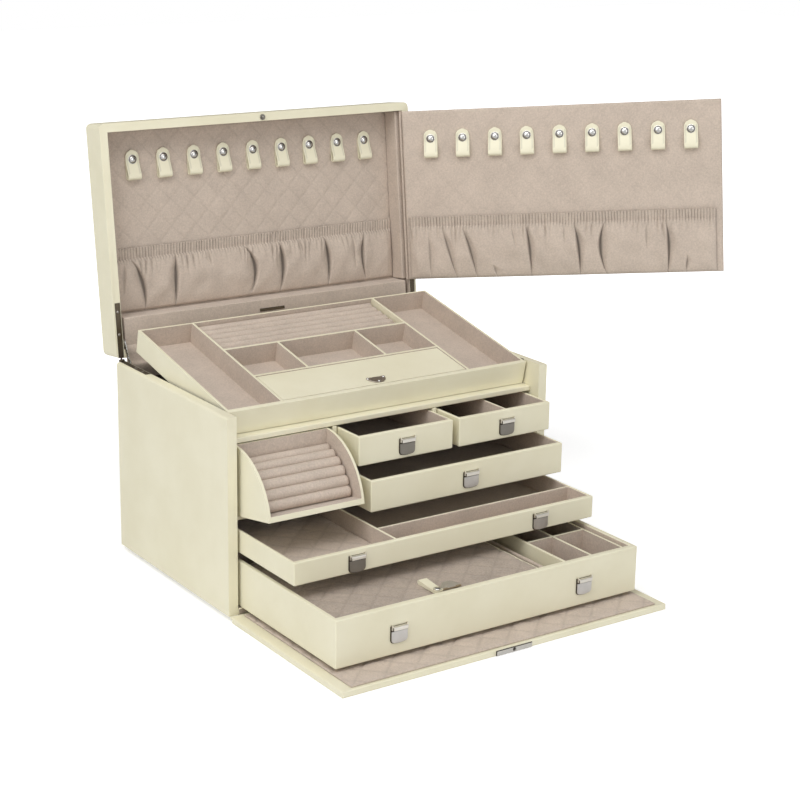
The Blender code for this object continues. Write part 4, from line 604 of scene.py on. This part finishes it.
def place_hooks(board, space, first, foot, face, direction, turn_axis):
    """A row of hooks along a board: first is the first hook's X, direction the way the row runs."""
    for number in range(HOOK_COUNT):
        x = first + direction * HOOK_PITCH * number
        lean = math.radians(0.8) * math.sin(number * 2.3 + 0.6)
        seat = (space @ Matrix.Translation((x, -foot, face)) @ Matrix.Rotation(math.pi, 4, turn_axis)
                @ Matrix.Rotation(lean, 4, "Z"))
        strap = piece(f"{board}_hook_{number + 1}", hook_strap, board, place=seat)
        thicken(strap, HOOK_LEATHER, 0.0)
        round_edges(strap, 0.00025, 2)
        snap = Matrix.Translation((0.0, HOOK_LENGTH - SNAP_FROM_TIP, HOOK_LEATHER * 2.0 + HOOK_GAP))
        piece(f"{board}_snap_{number + 1}", snap_cap, board, place=seat @ snap)


place_hooks("lid", lid_space, -0.1575, 0.201, LINING_FACE, 1, "X")

# Wing
# A suede-covered board that swings out on a cloth bead along the lid's right rim. Its inner face is
# quilted above a gathered pocket and carries nine hooks; its edge is bound in the same suede.
WING_TURN = math.radians(136.6)
WING_BOARD = 0.005
wing_space = (lid_space @ Matrix.Translation((0.1962, 0.0, 0.0008))
              @ Matrix.Rotation(-WING_TURN, 4, "Y"))
wing_mesh = quilted_panel("wing_board_quilt", (-0.3891, -0.2565), (-0.0023, -0.0495), WING_BOARD,
                          QUILT_PITCH, LINING_STEP, crown=0.00020, line=QUILT_STITCH, thread=0.06)
wing_mesh.transform(wing_space)
wing_board = piece("wing_board_quilt", wing_mesh, "wing")
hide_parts("wing_board")
place_hooks("wing", wing_space, -0.0375, 0.1995, WING_BOARD, -1, "Z")

# Gathered pockets
# A strip of soft suede is gathered on elastic at its mouth and sewn down along its foot, across the
# lid lining and across the wing. Its fullness hangs in soft swells parted by deep creases.
# Painted shade darkens the creases, the rib grooves and the tucks.
POCKET_BAND = 0.0125
RUFFLE_PITCH = 0.0037
POCKET_STEP_X = 0.00050
POCKET_ROWS = 72
POCKET_FULL = 0.0088
POCKET_THICKNESS = 0.0007
POCKET_SEWN_ENDS = 0.009
RUFFLE_DEPTH = 0.0021
TUCK_DEPTH = 0.0034
TUCK_PITCH = RUFFLE_PITCH * 2.1
CLOTH_WANDER = 0.0011
CLOTH_DENT = 0.0016
CLOTH_LEAST = 0.00035


def crease_at(x, fall, creases):
    """How deep a place lies in the cloth's creases and how much painted shade it takes there, each from 0
    to 1.
    """
    deepest = 0.0
    crease_shade = 0.0
    for at, head, bend, foot, width, start, end, strength in creases:
        if fall < start or fall > end:
            continue
        share = (fall - start) / (end - start)
        rest = 1.0 - share
        middle = at + head * rest ** 3 + 2.0 * bend * share * rest + foot * share * share
        spread = width * (0.22 + 0.46 * math.exp(-((share - 0.46) / 0.22) ** 2))
        side = (x - middle) / spread
        fade = min(1.0, 0.30 + share / 0.40) * min(1.0, share / 0.04) * min(1.0, 0.35 + rest / 0.4)
        soft = 0.26 if side < 0 else 1.25
        deepest = max(deepest, strength * fade * math.exp(-(side * soft) ** 2))
        # tone sets how far the painted shade reaches on each side of the crease
        tone = 0.80 if side < 0 else 1.9
        crease_shade = max(crease_shade, strength * fade * math.exp(-(side * tone) ** 2))
    return deepest, crease_shade


def gathered_pocket(name, start, length, top, bottom, creases, seed):
    """Front cloth of a pocket in its board's space: x along, y down the board, z out of it."""
    columns = round(length / POCKET_STEP_X)
    height = top - bottom
    shape = bmesh.new()
    rows = []
    shades = []
    for row in range(POCKET_ROWS + 1):
        fall = row / POCKET_ROWS
        drop = fall * height
        below = max(0.0, drop - POCKET_BAND) / (height - POCKET_BAND)
        ring = []
        for column in range(columns + 1):
            along = length * column / columns
            x = start + along
            wander = CLOTH_WANDER * noise.noise(Vector((x * 70.0, seed, fall * 1.5)))
            sharp = 0.72 + 0.42 * noise.noise(Vector((x * 120.0, seed + 4.0, drop * 90.0)))
            band = min(1.0, max(0.0, 1.0 - (drop - POCKET_BAND) / 0.006))
            waist = 1.0 - 0.45 * math.exp(-((drop / POCKET_BAND - 0.45) / 0.16) ** 2)
            rib = abs(math.sin((along + wander) * math.pi / RUFFLE_PITCH)) ** 0.6
            ripple = RUFFLE_DEPTH * (rib - 0.75) * sharp * band * waist
            slant = along + wander * 6.0 + 0.012 * below * noise.noise(Vector((x * 30.0, seed + 7.0, 0.0)))
            tuck = abs(math.sin(slant * math.pi / TUCK_PITCH + 0.7 * seed)) ** 0.7
            loose = max(0.0, 0.15 + 1.5 * noise.noise(Vector((x * 55.0, seed, 1.0))))
            reach = 0.10 + 0.16 * loose
            fan = math.exp(-((below - 0.05) / reach) ** 2) * (1.0 - band * 0.6) * min(1.0, 0.25 + loose)
            soft = TUCK_DEPTH * (tuck - 0.6) * fan
            belly = math.sin(math.pi * min(1.0, below * 0.95 + 0.05)) ** 0.55 if below > 0 else 0.0
            swell = 0.5 + 0.5 * noise.noise(Vector((x * 22.0, seed + 9.0, fall * 1.0)))
            dent = CLOTH_DENT * noise.noise(Vector((x * 55.0 + fall * 2.0, seed + 2.0, fall * 3.5)))
            full = POCKET_FULL * belly * (0.58 + 0.36 * swell) + dent * belly
            deep, dark = crease_at(x, fall, creases)
            full *= 1.0 - 0.94 * deep
            from_end = min(along, length - along) / POCKET_SEWN_ENDS
            full *= math.sqrt(max(0.0, min(1.0, from_end)))
            mouth = 0.0016 + 0.0014 * max(0.0, 1.0 - drop / POCKET_BAND)
            hem = min(1.0, (1.0 - fall) / 0.03)
            z = max(CLOTH_LEAST, (mouth + ripple + soft + full) * (0.35 + 0.65 * hem))
            zigzag = 0.0009 * (rib - 0.6) * max(0.0, 1.0 - drop / 0.004)
            ring.append(shape.verts.new((x, -(top - drop + zigzag), z)))
            # Painted shade in the rib grooves, the tucks and the creases, kept for the darkening step
            groove_shade = (1.0 - rib) ** 1.1 * band * 0.95 * sharp
            pucker = (1.0 - tuck) ** 1.2 * fan * 0.55
            shades.append(min(1.0, max(dark * 1.25, groove_shade, pucker)))
        rows.append(ring)
    skin(shape, rows)
    mesh = new_mesh(name, shape, taupe_suede, solid=False)
    mesh.shade_smooth()
    mark_stitches_and_shade(mesh, shades)
    return mesh


# Creases as (place, head, bend, foot, width, start, end, strength): the first five in millimetres,
# then shares of the pocket's fall, then how strong the crease is
lid_creases = [
    (-157, -13, 5, 2, 3.6, 0.17, 1.0, 1.0), (-113, 1, 2, -3, 3.4, 0.16, 0.99, 1.0),
    (-8, -13, 10, -6, 3.6, 0.16, 0.93, 1.0), (32, -5, 5, -6, 3.6, 0.15, 0.98, 0.95),
    (98, -8, 3, -3, 3.2, 0.14, 0.99, 1.0), (148, 3, -5, 2, 2.4, 0.15, 0.97, 0.85),
    (58, -2, 1, 1, 2, 0.16, 0.4, 0.4), (-70, 2, 3, 4, 2.2, 0.17, 0.42, 0.35),
    (132, 1, 2, 2, 2.2, 0.2, 0.75, 0.35), (-180, 2, 0, -3, 3, 0.2, 0.7, 0.3)]
wing_creases = [
    (-31, 1, 0, 0, 2.2, 0.22, 1.0, 0.4), (-51, 5, -2, -13, 2.2, 0.15, 1.0, 0.7),
    (-78, 7, -3, -11, 2.4, 0.15, 1.0, 0.8), (-111, 2, 0, -3, 2.2, 0.8, 1.0, 0.5),
    (-154, 4, -1, -2, 2.4, 0.14, 1.0, 0.9), (-214, 5, -1, -2, 2.6, 0.14, 1.0, 1.0),
    (-242.5, -5, 8, -6, 3, 0.14, 1.0, 1.0), (-324, 4, -1, 2, 2.6, 0.13, 1.0, 1.0),
    (-346, 0, 1, 2, 2.2, 0.72, 1.0, 0.6), (-295, -3, -2, -2, 2.2, 0.18, 0.6, 0.3),
    (-134, 2, 0, -3, 2, 0.17, 0.5, 0.3), (-196, -2, 0, -2, 2, 0.17, 0.45, 0.3)]
for body, space, start, length, top, bottom, face, facing, creases, seed, flat, seat in (
        ("lid", lid_space, -0.1978, 0.3888, 0.1235, 0.0505, LINING_FACE, -1, lid_creases, 1.3,
         (0.56, 0.075), "lid_lining_quilt"),
        ("wing", wing_space, -0.381, 0.375, 0.1265, 0.0497, WING_BOARD, 1, wing_creases, 5.1,
         (0.55, 0.079), "wing_board_quilt")):
    in_metres = [(*(value / 1000 for value in crease[:5]), *crease[5:]) for crease in creases]
    pocket = gathered_pocket(f"{body}_pocket_cloth", start, length, top, bottom, in_metres, seed)
    pocket.transform(space @ Matrix.Translation((0.0, 0.0, face)) @ Matrix.Scale(facing, 4, (0, 0, 1)))
    if facing < 0:
        pocket.flip_normals()
    cloth = piece(f"{body}_pocket_cloth", pocket, body)
    thicken(cloth, POCKET_THICKNESS, 1.0)
    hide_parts(f"{body}_pocket")

# Hinge cloth
# A strip of suede glued under the lid's apron and down the back panel's inner face covers the gap
# behind the tray. It is shaped bent between lid and case with the lid open.
# Its lower rows, down the back panel, take the darker suede as painted shade.
low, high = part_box("back_panel")
HINGE_CLOTH_HALF = 0.1965
CLOTH_COLUMNS = 80
CLOTH_GIVE = 0.00025
# The first row that takes the painted shade
CLOTH_SHADE_ROW = 7
cloth_path = [lid_space @ Vector((0.0, along, out)) for along, out in
              ((-0.0165, 0.0027), (-0.0138, 0.0006), (-0.0118, -0.0006), (-0.0062, -0.0009))]
cloth_path += [Vector((0.0, y, high.z + up)) for y, up in
               ((high.y + 0.0012, 0.0030), (high.y - 0.0006, 0.0012), ((low.y + high.y) / 2, 0.0009),
                (low.y + 0.0004, 0.0006), (low.y - 0.0009, -0.0020), (low.y - 0.0009, -0.0080),
                (low.y - 0.0008, -0.0160))]
cloth_shape = bmesh.new()
cloth_rows = []
for number, place in enumerate(cloth_path):
    cloth_row = []
    for column in range(CLOTH_COLUMNS + 1):
        x = HINGE_CLOTH_HALF * (2 * column / CLOTH_COLUMNS - 1.0)
        give = CLOTH_GIVE * noise.noise(Vector((x * 60.0, number * 1.7, 0.0)))
        cloth_row.append(cloth_shape.verts.new((x, place.y - abs(give), place.z + give)))
    cloth_rows.append(cloth_row)
for number, patch in enumerate(skin(cloth_shape, cloth_rows)):
    patch.material_index = 1 if number // CLOTH_COLUMNS >= CLOTH_SHADE_ROW else 0
hinge_mesh = new_mesh("lid_hinge_cloth", cloth_shape, taupe_suede, painted_shade_suede, solid=False)
hinge_mesh.shade_smooth()
hinge_cloth = new_object("lid_hinge_cloth", hinge_mesh)
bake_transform(hinge_cloth)

# Lid hardware
# Two dark strap hinges are screwed to the lid rim and the panel tops, bright flat stays lift
# beside them, and a plated catch pin stands in the front rim. A dark plate sits on the apron.
dark_bronze = metal("dark_bronze", (0.13, 0.105, 0.075), 0.42)
bright_steel = metal("bright_steel", (0.74, 0.74, 0.72), 0.22)
plate_nickel = metal("plate_nickel", (0.70, 0.68, 0.66), 0.30, 0.12)
# A darker copy of the nickel, as painted shade: on the catch pin, the hinge screws and three pulls.
painted_shade_nickel = metal("painted_shade_nickel", (0.30, 0.28, 0.25), 0.36, 0.16)
tab_nickel = metal("tab_nickel", (0.46, 0.41, 0.36), 0.36, 0.16)


def fitting(node, body, edge, *surfaces, slot="dark_bronze", **options):
    """A metal piece's own shape with its edges broken."""
    return turned(node, body, edge, 2, surfaces, suffix="_metal", slot=slot, **options)


METAL_EDGE = 0.0002
for side in ("left", "right"):
    fitting(f"case_hinge_leaf_{side}", "case", METAL_EDGE, dark_bronze)
    fitting(f"lid_hinge_leaf_{side}", "lid", METAL_EDGE, dark_bronze)
    fitting(f"stay_arm_{side}", f"stay_{side}", 0.00015, bright_steel, slot="bright_steel")
apron_strip = fitting("apron_plate", "lid", METAL_EDGE, dark_bronze)
APRON_PLATE_HEIGHT = 0.55
strip_foot = min(vert.co.z for vert in apron_strip.data.vertices)
for vert in apron_strip.data.vertices:
    vert.co.z = strip_foot + (vert.co.z - strip_foot) * APRON_PLATE_HEIGHT
# The catch pin is in the darker nickel as painted shade.
fitting("lid_catch_pin", "lid", 0.0, painted_shade_nickel, slot="brushed_nickel")

# The hinge screws are in the darker nickel as painted shade.
screw_head = lathe_mesh("screw_head", [(0.0, 0.00055), (0.0009, 0.00052), (0.0014, 0.00034),
                                       (0.0017, 0.0)], 16, painted_shade_nickel)
stud_head = screw_head.copy()
stud_head.materials[0] = bright_steel


def drive_screws(name, body, places, space=Matrix.Identity(4), turn=Matrix.Identity(4), shape=screw_head):
    """Small round-headed screws in a hinge leaf or a tab."""
    for number, place in enumerate(places):
        piece(f"{name}_screw_{number + 1}", shape, body,
              place=space @ Matrix.Translation(place) @ turn)


for side, leaf_x in (("left", -0.2023), ("right", 0.2023)):
    drive_screws(f"case_{side}", "case", [(leaf_x, 0.0945, CASE_HEIGHT), (leaf_x, 0.0775, CASE_HEIGHT)])
    drive_screws(f"lid_{side}", "lid", [(leaf_x, -0.030, 0.0004), (leaf_x, -0.056, 0.0004)], lid_space,
                 Matrix.Rotation(math.pi, 4, "X"))

# Tray
# A shallow leather tray that lifts at the back as the lid opens. Its wells are lined with suede up
# to the cream rims, and one well has a cream cover with a half-round nickel tab.
TRAY_TILT = math.radians(11.97)
TRAY_PIVOT = (0.0, -0.0959, 0.19587)
TRAY_HEIGHT = 0.0272
tray_space = (Matrix.Translation(TRAY_PIVOT) @ Matrix.Rotation(TRAY_TILT, 4, "X")
              @ Matrix.Translation((0.0, -0.005, -0.003)))
RIM_SLACK = 0.0004


def inside_box(low, high):
    """A test for faces that lie inside a tray or drawer and not on its outer faces or its rim."""
    return lambda point, normal: all(low[i] + RIM_SLACK < point[i] < high[i] - RIM_SLACK
                                     for i in range(3))


both_tones = (cream_leather, taupe_suede)
in_tray = inside_box((-0.1963, 0.0, 0.0), (0.1963, 0.2096, TRAY_HEIGHT))
ROLL_BAY_RIGHT = 0.1160
ROLL_BAY_FRONT = 0.1365


def tray_lining(point, normal):
    """Every face inside the tray but the wall at the right end of its ring rolls."""
    roll_end = normal.x < -FACING and abs(point.x - ROLL_BAY_RIGHT) < 0.002 and point.y > ROLL_BAY_FRONT
    return in_tray(point, normal) and not roll_end


turned("tray_body", "tray", 0.0009, 2, both_tones, tray_lining, tray_space)

# The cover ends a little short of its frame on the left and in front, and its tab is turned round
COVER_SHORTER = (0.0013, 0.0022)
EDGE_REACH = 0.002
cover = turned("tray_lid", "tray_cover", 0.0008, 3)
to_tray = tray_space.inverted()
cover_places = [to_tray @ vert.co for vert in cover.data.vertices]
cover_left = min(place.x for place in cover_places)
cover_front = min(place.y for place in cover_places)
for vert, place in zip(cover.data.vertices, cover_places):
    if place.x < cover_left + EDGE_REACH:
        place.x += COVER_SHORTER[0]
    if place.y < cover_front + EDGE_REACH:
        place.y += COVER_SHORTER[1]
    vert.co = tray_space @ place
tab = fitting("tray_lid_tab", "tray_cover", 0.0003, tab_nickel, slot="brushed_nickel")
tab_places = [to_tray @ vert.co for vert in tab.data.vertices]
tab_low = [min(place[axis] for place in tab_places) for axis in range(3)]
tab_high = [max(place[axis] for place in tab_places) for axis in range(3)]
for vert, place in zip(tab.data.vertices, tab_places):
    place.y = tab_low[1] + tab_high[1] - place.y
    vert.co = tray_space @ place
tab.data.flip_normals()
stud_rear = tab_high[1] - 0.0014
drive_screws("tray_tab", "tray_cover", [((tab_low[0] + tab_high[0]) / 2, tab_low[1] + 0.0030, tab_high[2]),
                                        (tab_low[0] + 0.0016, stud_rear, tab_high[2]),
                                        (tab_high[0] - 0.0016, stud_rear, tab_high[2])],
             tray_space, shape=stud_head)

ROLL_SIDES = 20
ROLL_STEPS = 46


def padded_rolls(name, left, right, places, radius, body, space, node):
    """Soft rolls along X with rounded ends, each at a (y, z) place in the piece's own space."""
    shape = bmesh.new()
    for number, (y, z) in enumerate(places):
        rings = []
        for step in range(ROLL_STEPS + 1):
            share = step / ROLL_STEPS
            x = left + (right - left) * share
            from_end = min(share, 1.0 - share) * (right - left)
            shrink = math.sqrt(max(0.02, 1.0 - max(0.0, 1.0 - from_end / (radius * 0.45)) ** 2))
            ring = []
            for turn in range(ROLL_SIDES):
                angle = math.tau * turn / ROLL_SIDES
                lump = 1.0 + 0.025 * noise.noise(Vector((x * 30.0, number * 3.1, angle)))
                reach = radius * shrink * lump
                ring.append(shape.verts.new((x, y + reach * math.cos(angle), z + reach * math.sin(angle))))
            rings.append(ring)
        skin(shape, rings, True)
        shape.faces.new(rings[0])
        shape.faces.new(rings[-1][::-1])
    for face in shape.faces:
        face.smooth = len(face.verts) == 4
    mesh = new_mesh(name, shape, taupe_suede)
    mesh.transform(space)
    rolls = piece(name, mesh, body)
    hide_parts(node)


TRAY_ROLLS = 6
ROLLS_FRONT = 0.1372
ROLLS_REAR = 0.2069
ROLLS_TOP = 0.0241
roll_pitch = (ROLLS_REAR - ROLLS_FRONT) / TRAY_ROLLS
roll_radius = roll_pitch * 0.52
roll_centres = [(ROLLS_FRONT + roll_pitch * (i + 0.5), ROLLS_TOP - roll_radius) for i in range(TRAY_ROLLS)]
padded_rolls("tray_roll_cushions", -0.1261, 0.1157, roll_centres, roll_radius, "tray", tray_space,
             "tray_ring_rolls")

# Ring bin
# A quarter-round bin tips out beside the small drawers. Its fan-shaped sides and front are leather,
# the inside is suede, and padded rolls that hold rings follow the curve of its sides.
BIN_TURN = math.radians(79.8)
BIN_PIVOT = (0.0, -0.1095, 0.1094)
BIN_LEFT = -0.1938
BIN_RIGHT = -0.0767
BIN_FRONT_FACE = -0.0026
BIN_RIM_RADIUS = 0.070
bin_space = Matrix.Translation(BIN_PIVOT) @ Matrix.Rotation(BIN_TURN, 4, "X")


def inside_bin(point, normal):
    """Faces inside the bin: not its sides' outer faces, its front's outer face or its curved rims."""
    radius = math.hypot(point.y, point.z)
    inner = BIN_LEFT + RIM_SLACK < point.x < BIN_RIGHT - RIM_SLACK and point.y > BIN_FRONT_FACE
    outward = point.y * normal.y + point.z * normal.z
    on_rim = radius > BIN_RIM_RADIUS and outward > 0.05
    return inner and not on_rim and (normal.z > 0.2 or normal.y > 0.2 or abs(normal.x) > FACING)


turned("ring_bin", "bin", 0.0008, 2, both_tones, inside_bin, bin_space)
BIN_ROLLS = 6
bin_first = math.radians(86.0)
bin_last = math.radians(10.2) + math.asin(0.0036 / 0.057)
bin_pitch = (bin_first - bin_last) / BIN_ROLLS
bin_radius = 0.0565 * math.sin(bin_pitch / 2) * 1.06
bin_angles = [bin_first - bin_pitch * (i + 0.5) for i in range(BIN_ROLLS)]
bin_centres = [((0.0608 - bin_radius) * math.cos(angle), (0.0608 - bin_radius) * math.sin(angle))
               for angle in bin_angles]
padded_rolls("bin_roll_cushions", BIN_LEFT + 0.0034, BIN_RIGHT - 0.0034, bin_centres, bin_radius, "bin",
             bin_space, "ring_bin_rolls")

# Drawers
# Leather boxes with suede inside. The rims are narrow cream edges, and each front carries plated
# flap pulls.
SHELF_FRONT = -0.1125
DRAWER_DEPTH = 0.222
DRAWER_EDGE = 0.0014
DRAWN = {"left_small": 0.0415, "right_small": 0.0417, "middle": 0.0665, "shallow": 0.1235,
         "deep": 0.2013}
for body, left, right, floor, height in (
        ("left_small", -0.065, 0.059, 0.150, 0.033), ("right_small", 0.0675, 0.195, 0.150, 0.033),
        ("middle", -0.0652, 0.1953, 0.1055, 0.0352), ("shallow", -0.1954, 0.1954, 0.0687, 0.0252)):
    front = SHELF_FRONT - DRAWN[body]
    turned(f"{body}_drawer", body, DRAWER_EDGE, 3, both_tones,
           inside_box((left, front, floor), (right, front + DRAWER_DEPTH, floor + height)))

# The deep drawer's box from rings of (left, right, front, rear, height): outside, then inside
deep_shape = bmesh.new()
deep_rings = []
for left, right, front, rear, height in (
        (-0.195, 0.195, -0.3138, -0.0918, 0.0075), (-0.195, 0.195, -0.3138, -0.0918, 0.0594),
        (-0.190, 0.1886, -0.3058, -0.0968, 0.0594), (-0.190, 0.1886, -0.3058, -0.0968, 0.0105)):
    deep_rings.append([deep_shape.verts.new((x, y, height)) for x, y in
                       ((left, front), (right, front), (right, rear), (left, rear))])
for number, face in enumerate(skin(deep_shape, deep_rings, True)):
    face.material_index = number // 8
deep_shape.faces.new(deep_rings[0][::-1])
deep_shape.faces.new(deep_rings[3]).material_index = 1
deep_mesh = new_mesh("deep_drawer_leather", deep_shape, cream_leather, taupe_suede)
deep_box = piece("deep_drawer_leather", deep_mesh, "deep")
round_edges(deep_box, DRAWER_EDGE, 3, harden=True)
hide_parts("deep_drawer")

# Flap pulls
# Each pull is a small nickel plate with round lower corners, a rolled lip along its top to take a
# fingertip, and a slot where the flap hangs under the lip. The lip is a cream-white painted reflection
# of the leather, and the near-black back plate is painted shade in the slot and round the flap.
PULL_HALF = 0.0105
PULL_HEIGHT = 0.0195
painted_shade_slot = metal("painted_shade_slot", (0.11, 0.09, 0.07), 0.5)
painted_reflection_nickel = metal("painted_reflection_nickel", (0.90, 0.86, 0.78), 0.38)


def arc(x, z, radius, first, sweep, steps):
    """Points on a circle about (x, z), from a first angle on."""
    angles = [first + sweep * i / steps for i in range(steps + 1)]
    return [(x + radius * math.cos(angle), z + radius * math.sin(angle)) for angle in angles]


def pull_outline(half, height, corner, bow, top=0.0):
    """Half-round-cornered plate outline from its top edge down, in (x, z)."""
    quarter = math.pi / 2
    shares = [step / 6 for step in range(1, 6)]
    foot = [(-half + corner + 2 * (half - corner) * share, -height - bow * math.sin(math.pi * share))
            for share in shares]
    return [(-half, top), *arc(-half + corner, -height + corner, corner, math.pi, quarter, 6), *foot,
            *arc(half - corner, -height + corner, corner, -quarter, quarter, 6), (half, top)]


def slab(shape, points, near, far):
    """A plate between two depths: y is the depth, towards the front it is negative."""
    front = [shape.verts.new((x, near, z)) for x, z in points]
    rear = [shape.verts.new((x, far, z)) for x, z in points]
    shape.faces.new(front)
    shape.faces.new(rear[::-1])
    skin(shape, (front, rear), True)


def pull_mesh(name, flap_metal):
    """Back plate, hanging flap and rolled lip, origin at the middle of the plate's top edge."""
    shape = bmesh.new()
    slab(shape, pull_outline(PULL_HALF, PULL_HEIGHT - 0.0006, 0.0042, 0.0006), -0.0011, -0.0003)
    back_faces = len(shape.faces)
    slab(shape, pull_outline(PULL_HALF - 0.0007, PULL_HEIGHT - 0.0013, 0.0038, 0.0006, -0.0059),
         -0.0021, -0.0012)
    flap_faces = len(shape.faces)
    lip = [(-0.0003, -0.0002), (-0.0032, -0.0002), (-0.0040, -0.0006), (-0.0045, -0.0016),
           (-0.0046, -0.0044), (-0.0040, -0.0044), (-0.0038, -0.0018), (-0.0030, -0.0011),
           (-0.0003, -0.0010)]
    ends = []
    for x in (-PULL_HALF + 0.0022, PULL_HALF - 0.0016):
        ends.append([shape.verts.new((x, y, z)) for y, z in lip])
    skin(shape, ends, True)
    shape.faces.new(ends[0][::-1])
    shape.faces.new(ends[1])
    for x in (-PULL_HALF + 0.0016, PULL_HALF - 0.0010):
        slab(shape, [(x - 0.0006, 0.0012), (x - 0.0006, -0.0040), (x + 0.0006, -0.0040),
                     (x + 0.0006, 0.0012)], -0.0030, -0.0003)
    for index, face in enumerate(shape.faces):
        face.material_index = 0 if index < back_faces else 1 if index < flap_faces else 2
    return new_mesh(name, shape, painted_shade_slot, flap_metal, painted_reflection_nickel)


bright_pull = pull_mesh("bright_pull", plate_nickel)
painted_shade_pull = pull_mesh("painted_shade_pull", painted_shade_nickel)
# The pulls on the small drawers and the shallow drawer's left are the darker copy, as painted shade.
for body, side, x, top, pull in (
        ("left_small", "", -0.003, 0.173, painted_shade_pull), ("right_small", "", 0.133, 0.173, painted_shade_pull),
        ("middle", "", 0.066, 0.130, bright_pull), ("shallow", "_left", -0.120, 0.0885, painted_shade_pull),
        ("deep", "_left", -0.120, 0.039, bright_pull), ("shallow", "_right", 0.120, 0.0885, bright_pull),
        ("deep", "_right", 0.120, 0.039, bright_pull)):
    flap = piece(f"{body}_drawer_pull{side}_flap", pull, body,
                 Matrix.Translation((x, SHELF_FRONT - DRAWN[body], top)))
    round_edges(flap, 0.00022, 2)
    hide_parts(f"{body}_drawer_pull{side}")

# Quilted pads
# Quilted suede pads lie in the shallow drawer's left well, on the travel case's lid and on the
# drop-down door.
PAD_STEP = 0.0014
PAD_PITCH = 0.0265
# The travel case's lid pad is in the darker suede as painted shade.
for name, node, body, surface, binding in (
        ("shallow_drawer_quilt", "shallow_drawer_pad", "shallow", taupe_suede, 0.0),
        ("door_quilt", "door_pad", "door", taupe_suede, 0.0),
        ("travel_lid_quilt", "travel_case_lid", "travel_lid", painted_shade_suede, 0.0030)):
    low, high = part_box(node)
    pad_mesh = quilted_panel(name, low[:2], high[:2], high.z - low.z, PAD_PITCH, PAD_STEP, crown=0.0004,
                             line=0.0015, thread=0.16, puff=0.0005, wrinkle=0.00045, binding=binding,
                             surface=surface)
    pad_mesh.transform(Matrix.Translation((0.0, 0.0, low.z)))
    pad = piece(name, pad_mesh, body)
    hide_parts(node)

# Travel case and insert tray
# A removable leather case fills the left of the deep drawer, closed by a snap strap and lifted by a
# half-round nickel pull. An insert tray with four cells stands at the right.
turned("travel_case", "deep", 0.0010, 3)
case_strap = turned("travel_case_strap", "travel_lid", 0.0003, 2)
low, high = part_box("travel_case_strap")
STRAP_FRONT = 0.020
STRAP_SHORTER = 0.0100
strap_rest = high.y - low.y - STRAP_FRONT
for vert in case_strap.data.vertices:
    if vert.co.y > low.y + STRAP_FRONT:
        vert.co.y -= STRAP_SHORTER * (vert.co.y - low.y - STRAP_FRONT) / strap_rest
piece("travel_strap_snap", snap_cap, "travel_lid",
      place=Matrix.Translation((-0.0552, -0.2892, 0.0545)) @ Matrix.Diagonal((0.9, 0.9, 0.8, 1.0)))


def half_round(radius, foot):
    """Outline of a half-round plate standing on a straight foot."""
    return [(radius, 0.0), *arc(0.0, foot, radius, 0.0, math.pi, 28), (-radius, 0.0)]


pull_bronze = metal("pull_bronze", (0.62, 0.52, 0.37), 0.45)
pull_shape = bmesh.new()
slab(pull_shape, half_round(0.0118, 0.0006), -0.0009, 0.0)
slab(pull_shape, half_round(0.0092, 0.0016), -0.0013, -0.0008)
slab(pull_shape, half_round(0.0052, 0.0026), -0.0017, -0.0012)
plate_faces = len(pull_shape.faces)
slab(pull_shape, [(-0.0120, 0.0018), (-0.0120, -0.0002), (0.0120, -0.0002), (0.0120, 0.0018)],
     -0.0015, 0.0002)
pull_shape.faces.ensure_lookup_table()
for face in pull_shape.faces[plate_faces:]:
    face.material_index = 1
PULL_LIES_AT = math.radians(14.0 - 90.0)
# The half-round plate is the cream-white nickel, a painted reflection.
half_pull = new_mesh("travel_case_half_pull", pull_shape, painted_reflection_nickel, pull_bronze)
half_pull.transform(Matrix.Translation((-0.0370, -0.2893, 0.0515))
                    @ Matrix.Rotation(PULL_LIES_AT, 4, "X"))
case_pull = piece("travel_case_half_pull", half_pull, "travel_lid")
round_edges(case_pull, 0.00025, 2)
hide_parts("travel_case_pull")
low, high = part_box("insert_tray")
turned("insert_tray", "deep", 0.0008, 2, both_tones,
       lambda p, n: p.z < high.z - RIM_SLACK and low.x + RIM_SLACK < p.x < high.x - RIM_SLACK)
strip_shape = bmesh.new()
bmesh.ops.create_cube(strip_shape, size=1.0)
for vert in strip_shape.verts:
    vert.co = (0.0895 + vert.co.x * 0.0046, -0.2013 + vert.co.y * 0.2080, 0.0285 + vert.co.z * 0.0360)
strip_mesh = new_mesh("deep_drawer_strip", strip_shape, taupe_suede)
strip = piece("deep_drawer_strip", strip_mesh, "deep")
round_edges(strip, 0.0016, 3)

# Door
# The drop-down front is a leather board with a nickel lock plate let into its edge. It turns on a
# leather roll along the case's foot.
turned("door_board", "door", 0.0018, 3)
turned("door_hinge_roll", "case", 0.0)
low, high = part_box("lock_plate")
lock_nickel = metal("lock_nickel", (0.64, 0.62, 0.58), 0.38)
# A near-black strip along the plate's left and top edges is painted shadow from its gap.
LOCK_SHADE_LINE = 0.0007
fitting("lock_plate", "door", METAL_EDGE, lock_nickel, painted_shade_metal, slot="brushed_nickel",
        lining=lambda p, n: p.x < low.x + LOCK_SHADE_LINE or p.z > high.z - LOCK_SHADE_LINE,
        split=[((low.x + LOCK_SHADE_LINE, 0.0, 0.0), (1.0, 0.0, 0.0)),
               ((0.0, 0.0, high.z - LOCK_SHADE_LINE), (0.0, 0.0, 1.0))])
# The keyhole is a near-black disc, painted shade.
keyhole_shade = lathe_mesh("lock_bore", [(0.0, 0.0002), (0.0022, 0.0002), (0.0023, 0.0)], 20, painted_shade_metal)
piece("lock_bore", keyhole_shade, "door",
      place=Matrix.Translation((0.0, high.y + 0.0002, (low.z + high.z) / 2))
      @ Matrix.Rotation(math.pi / 2, 4, "X"))
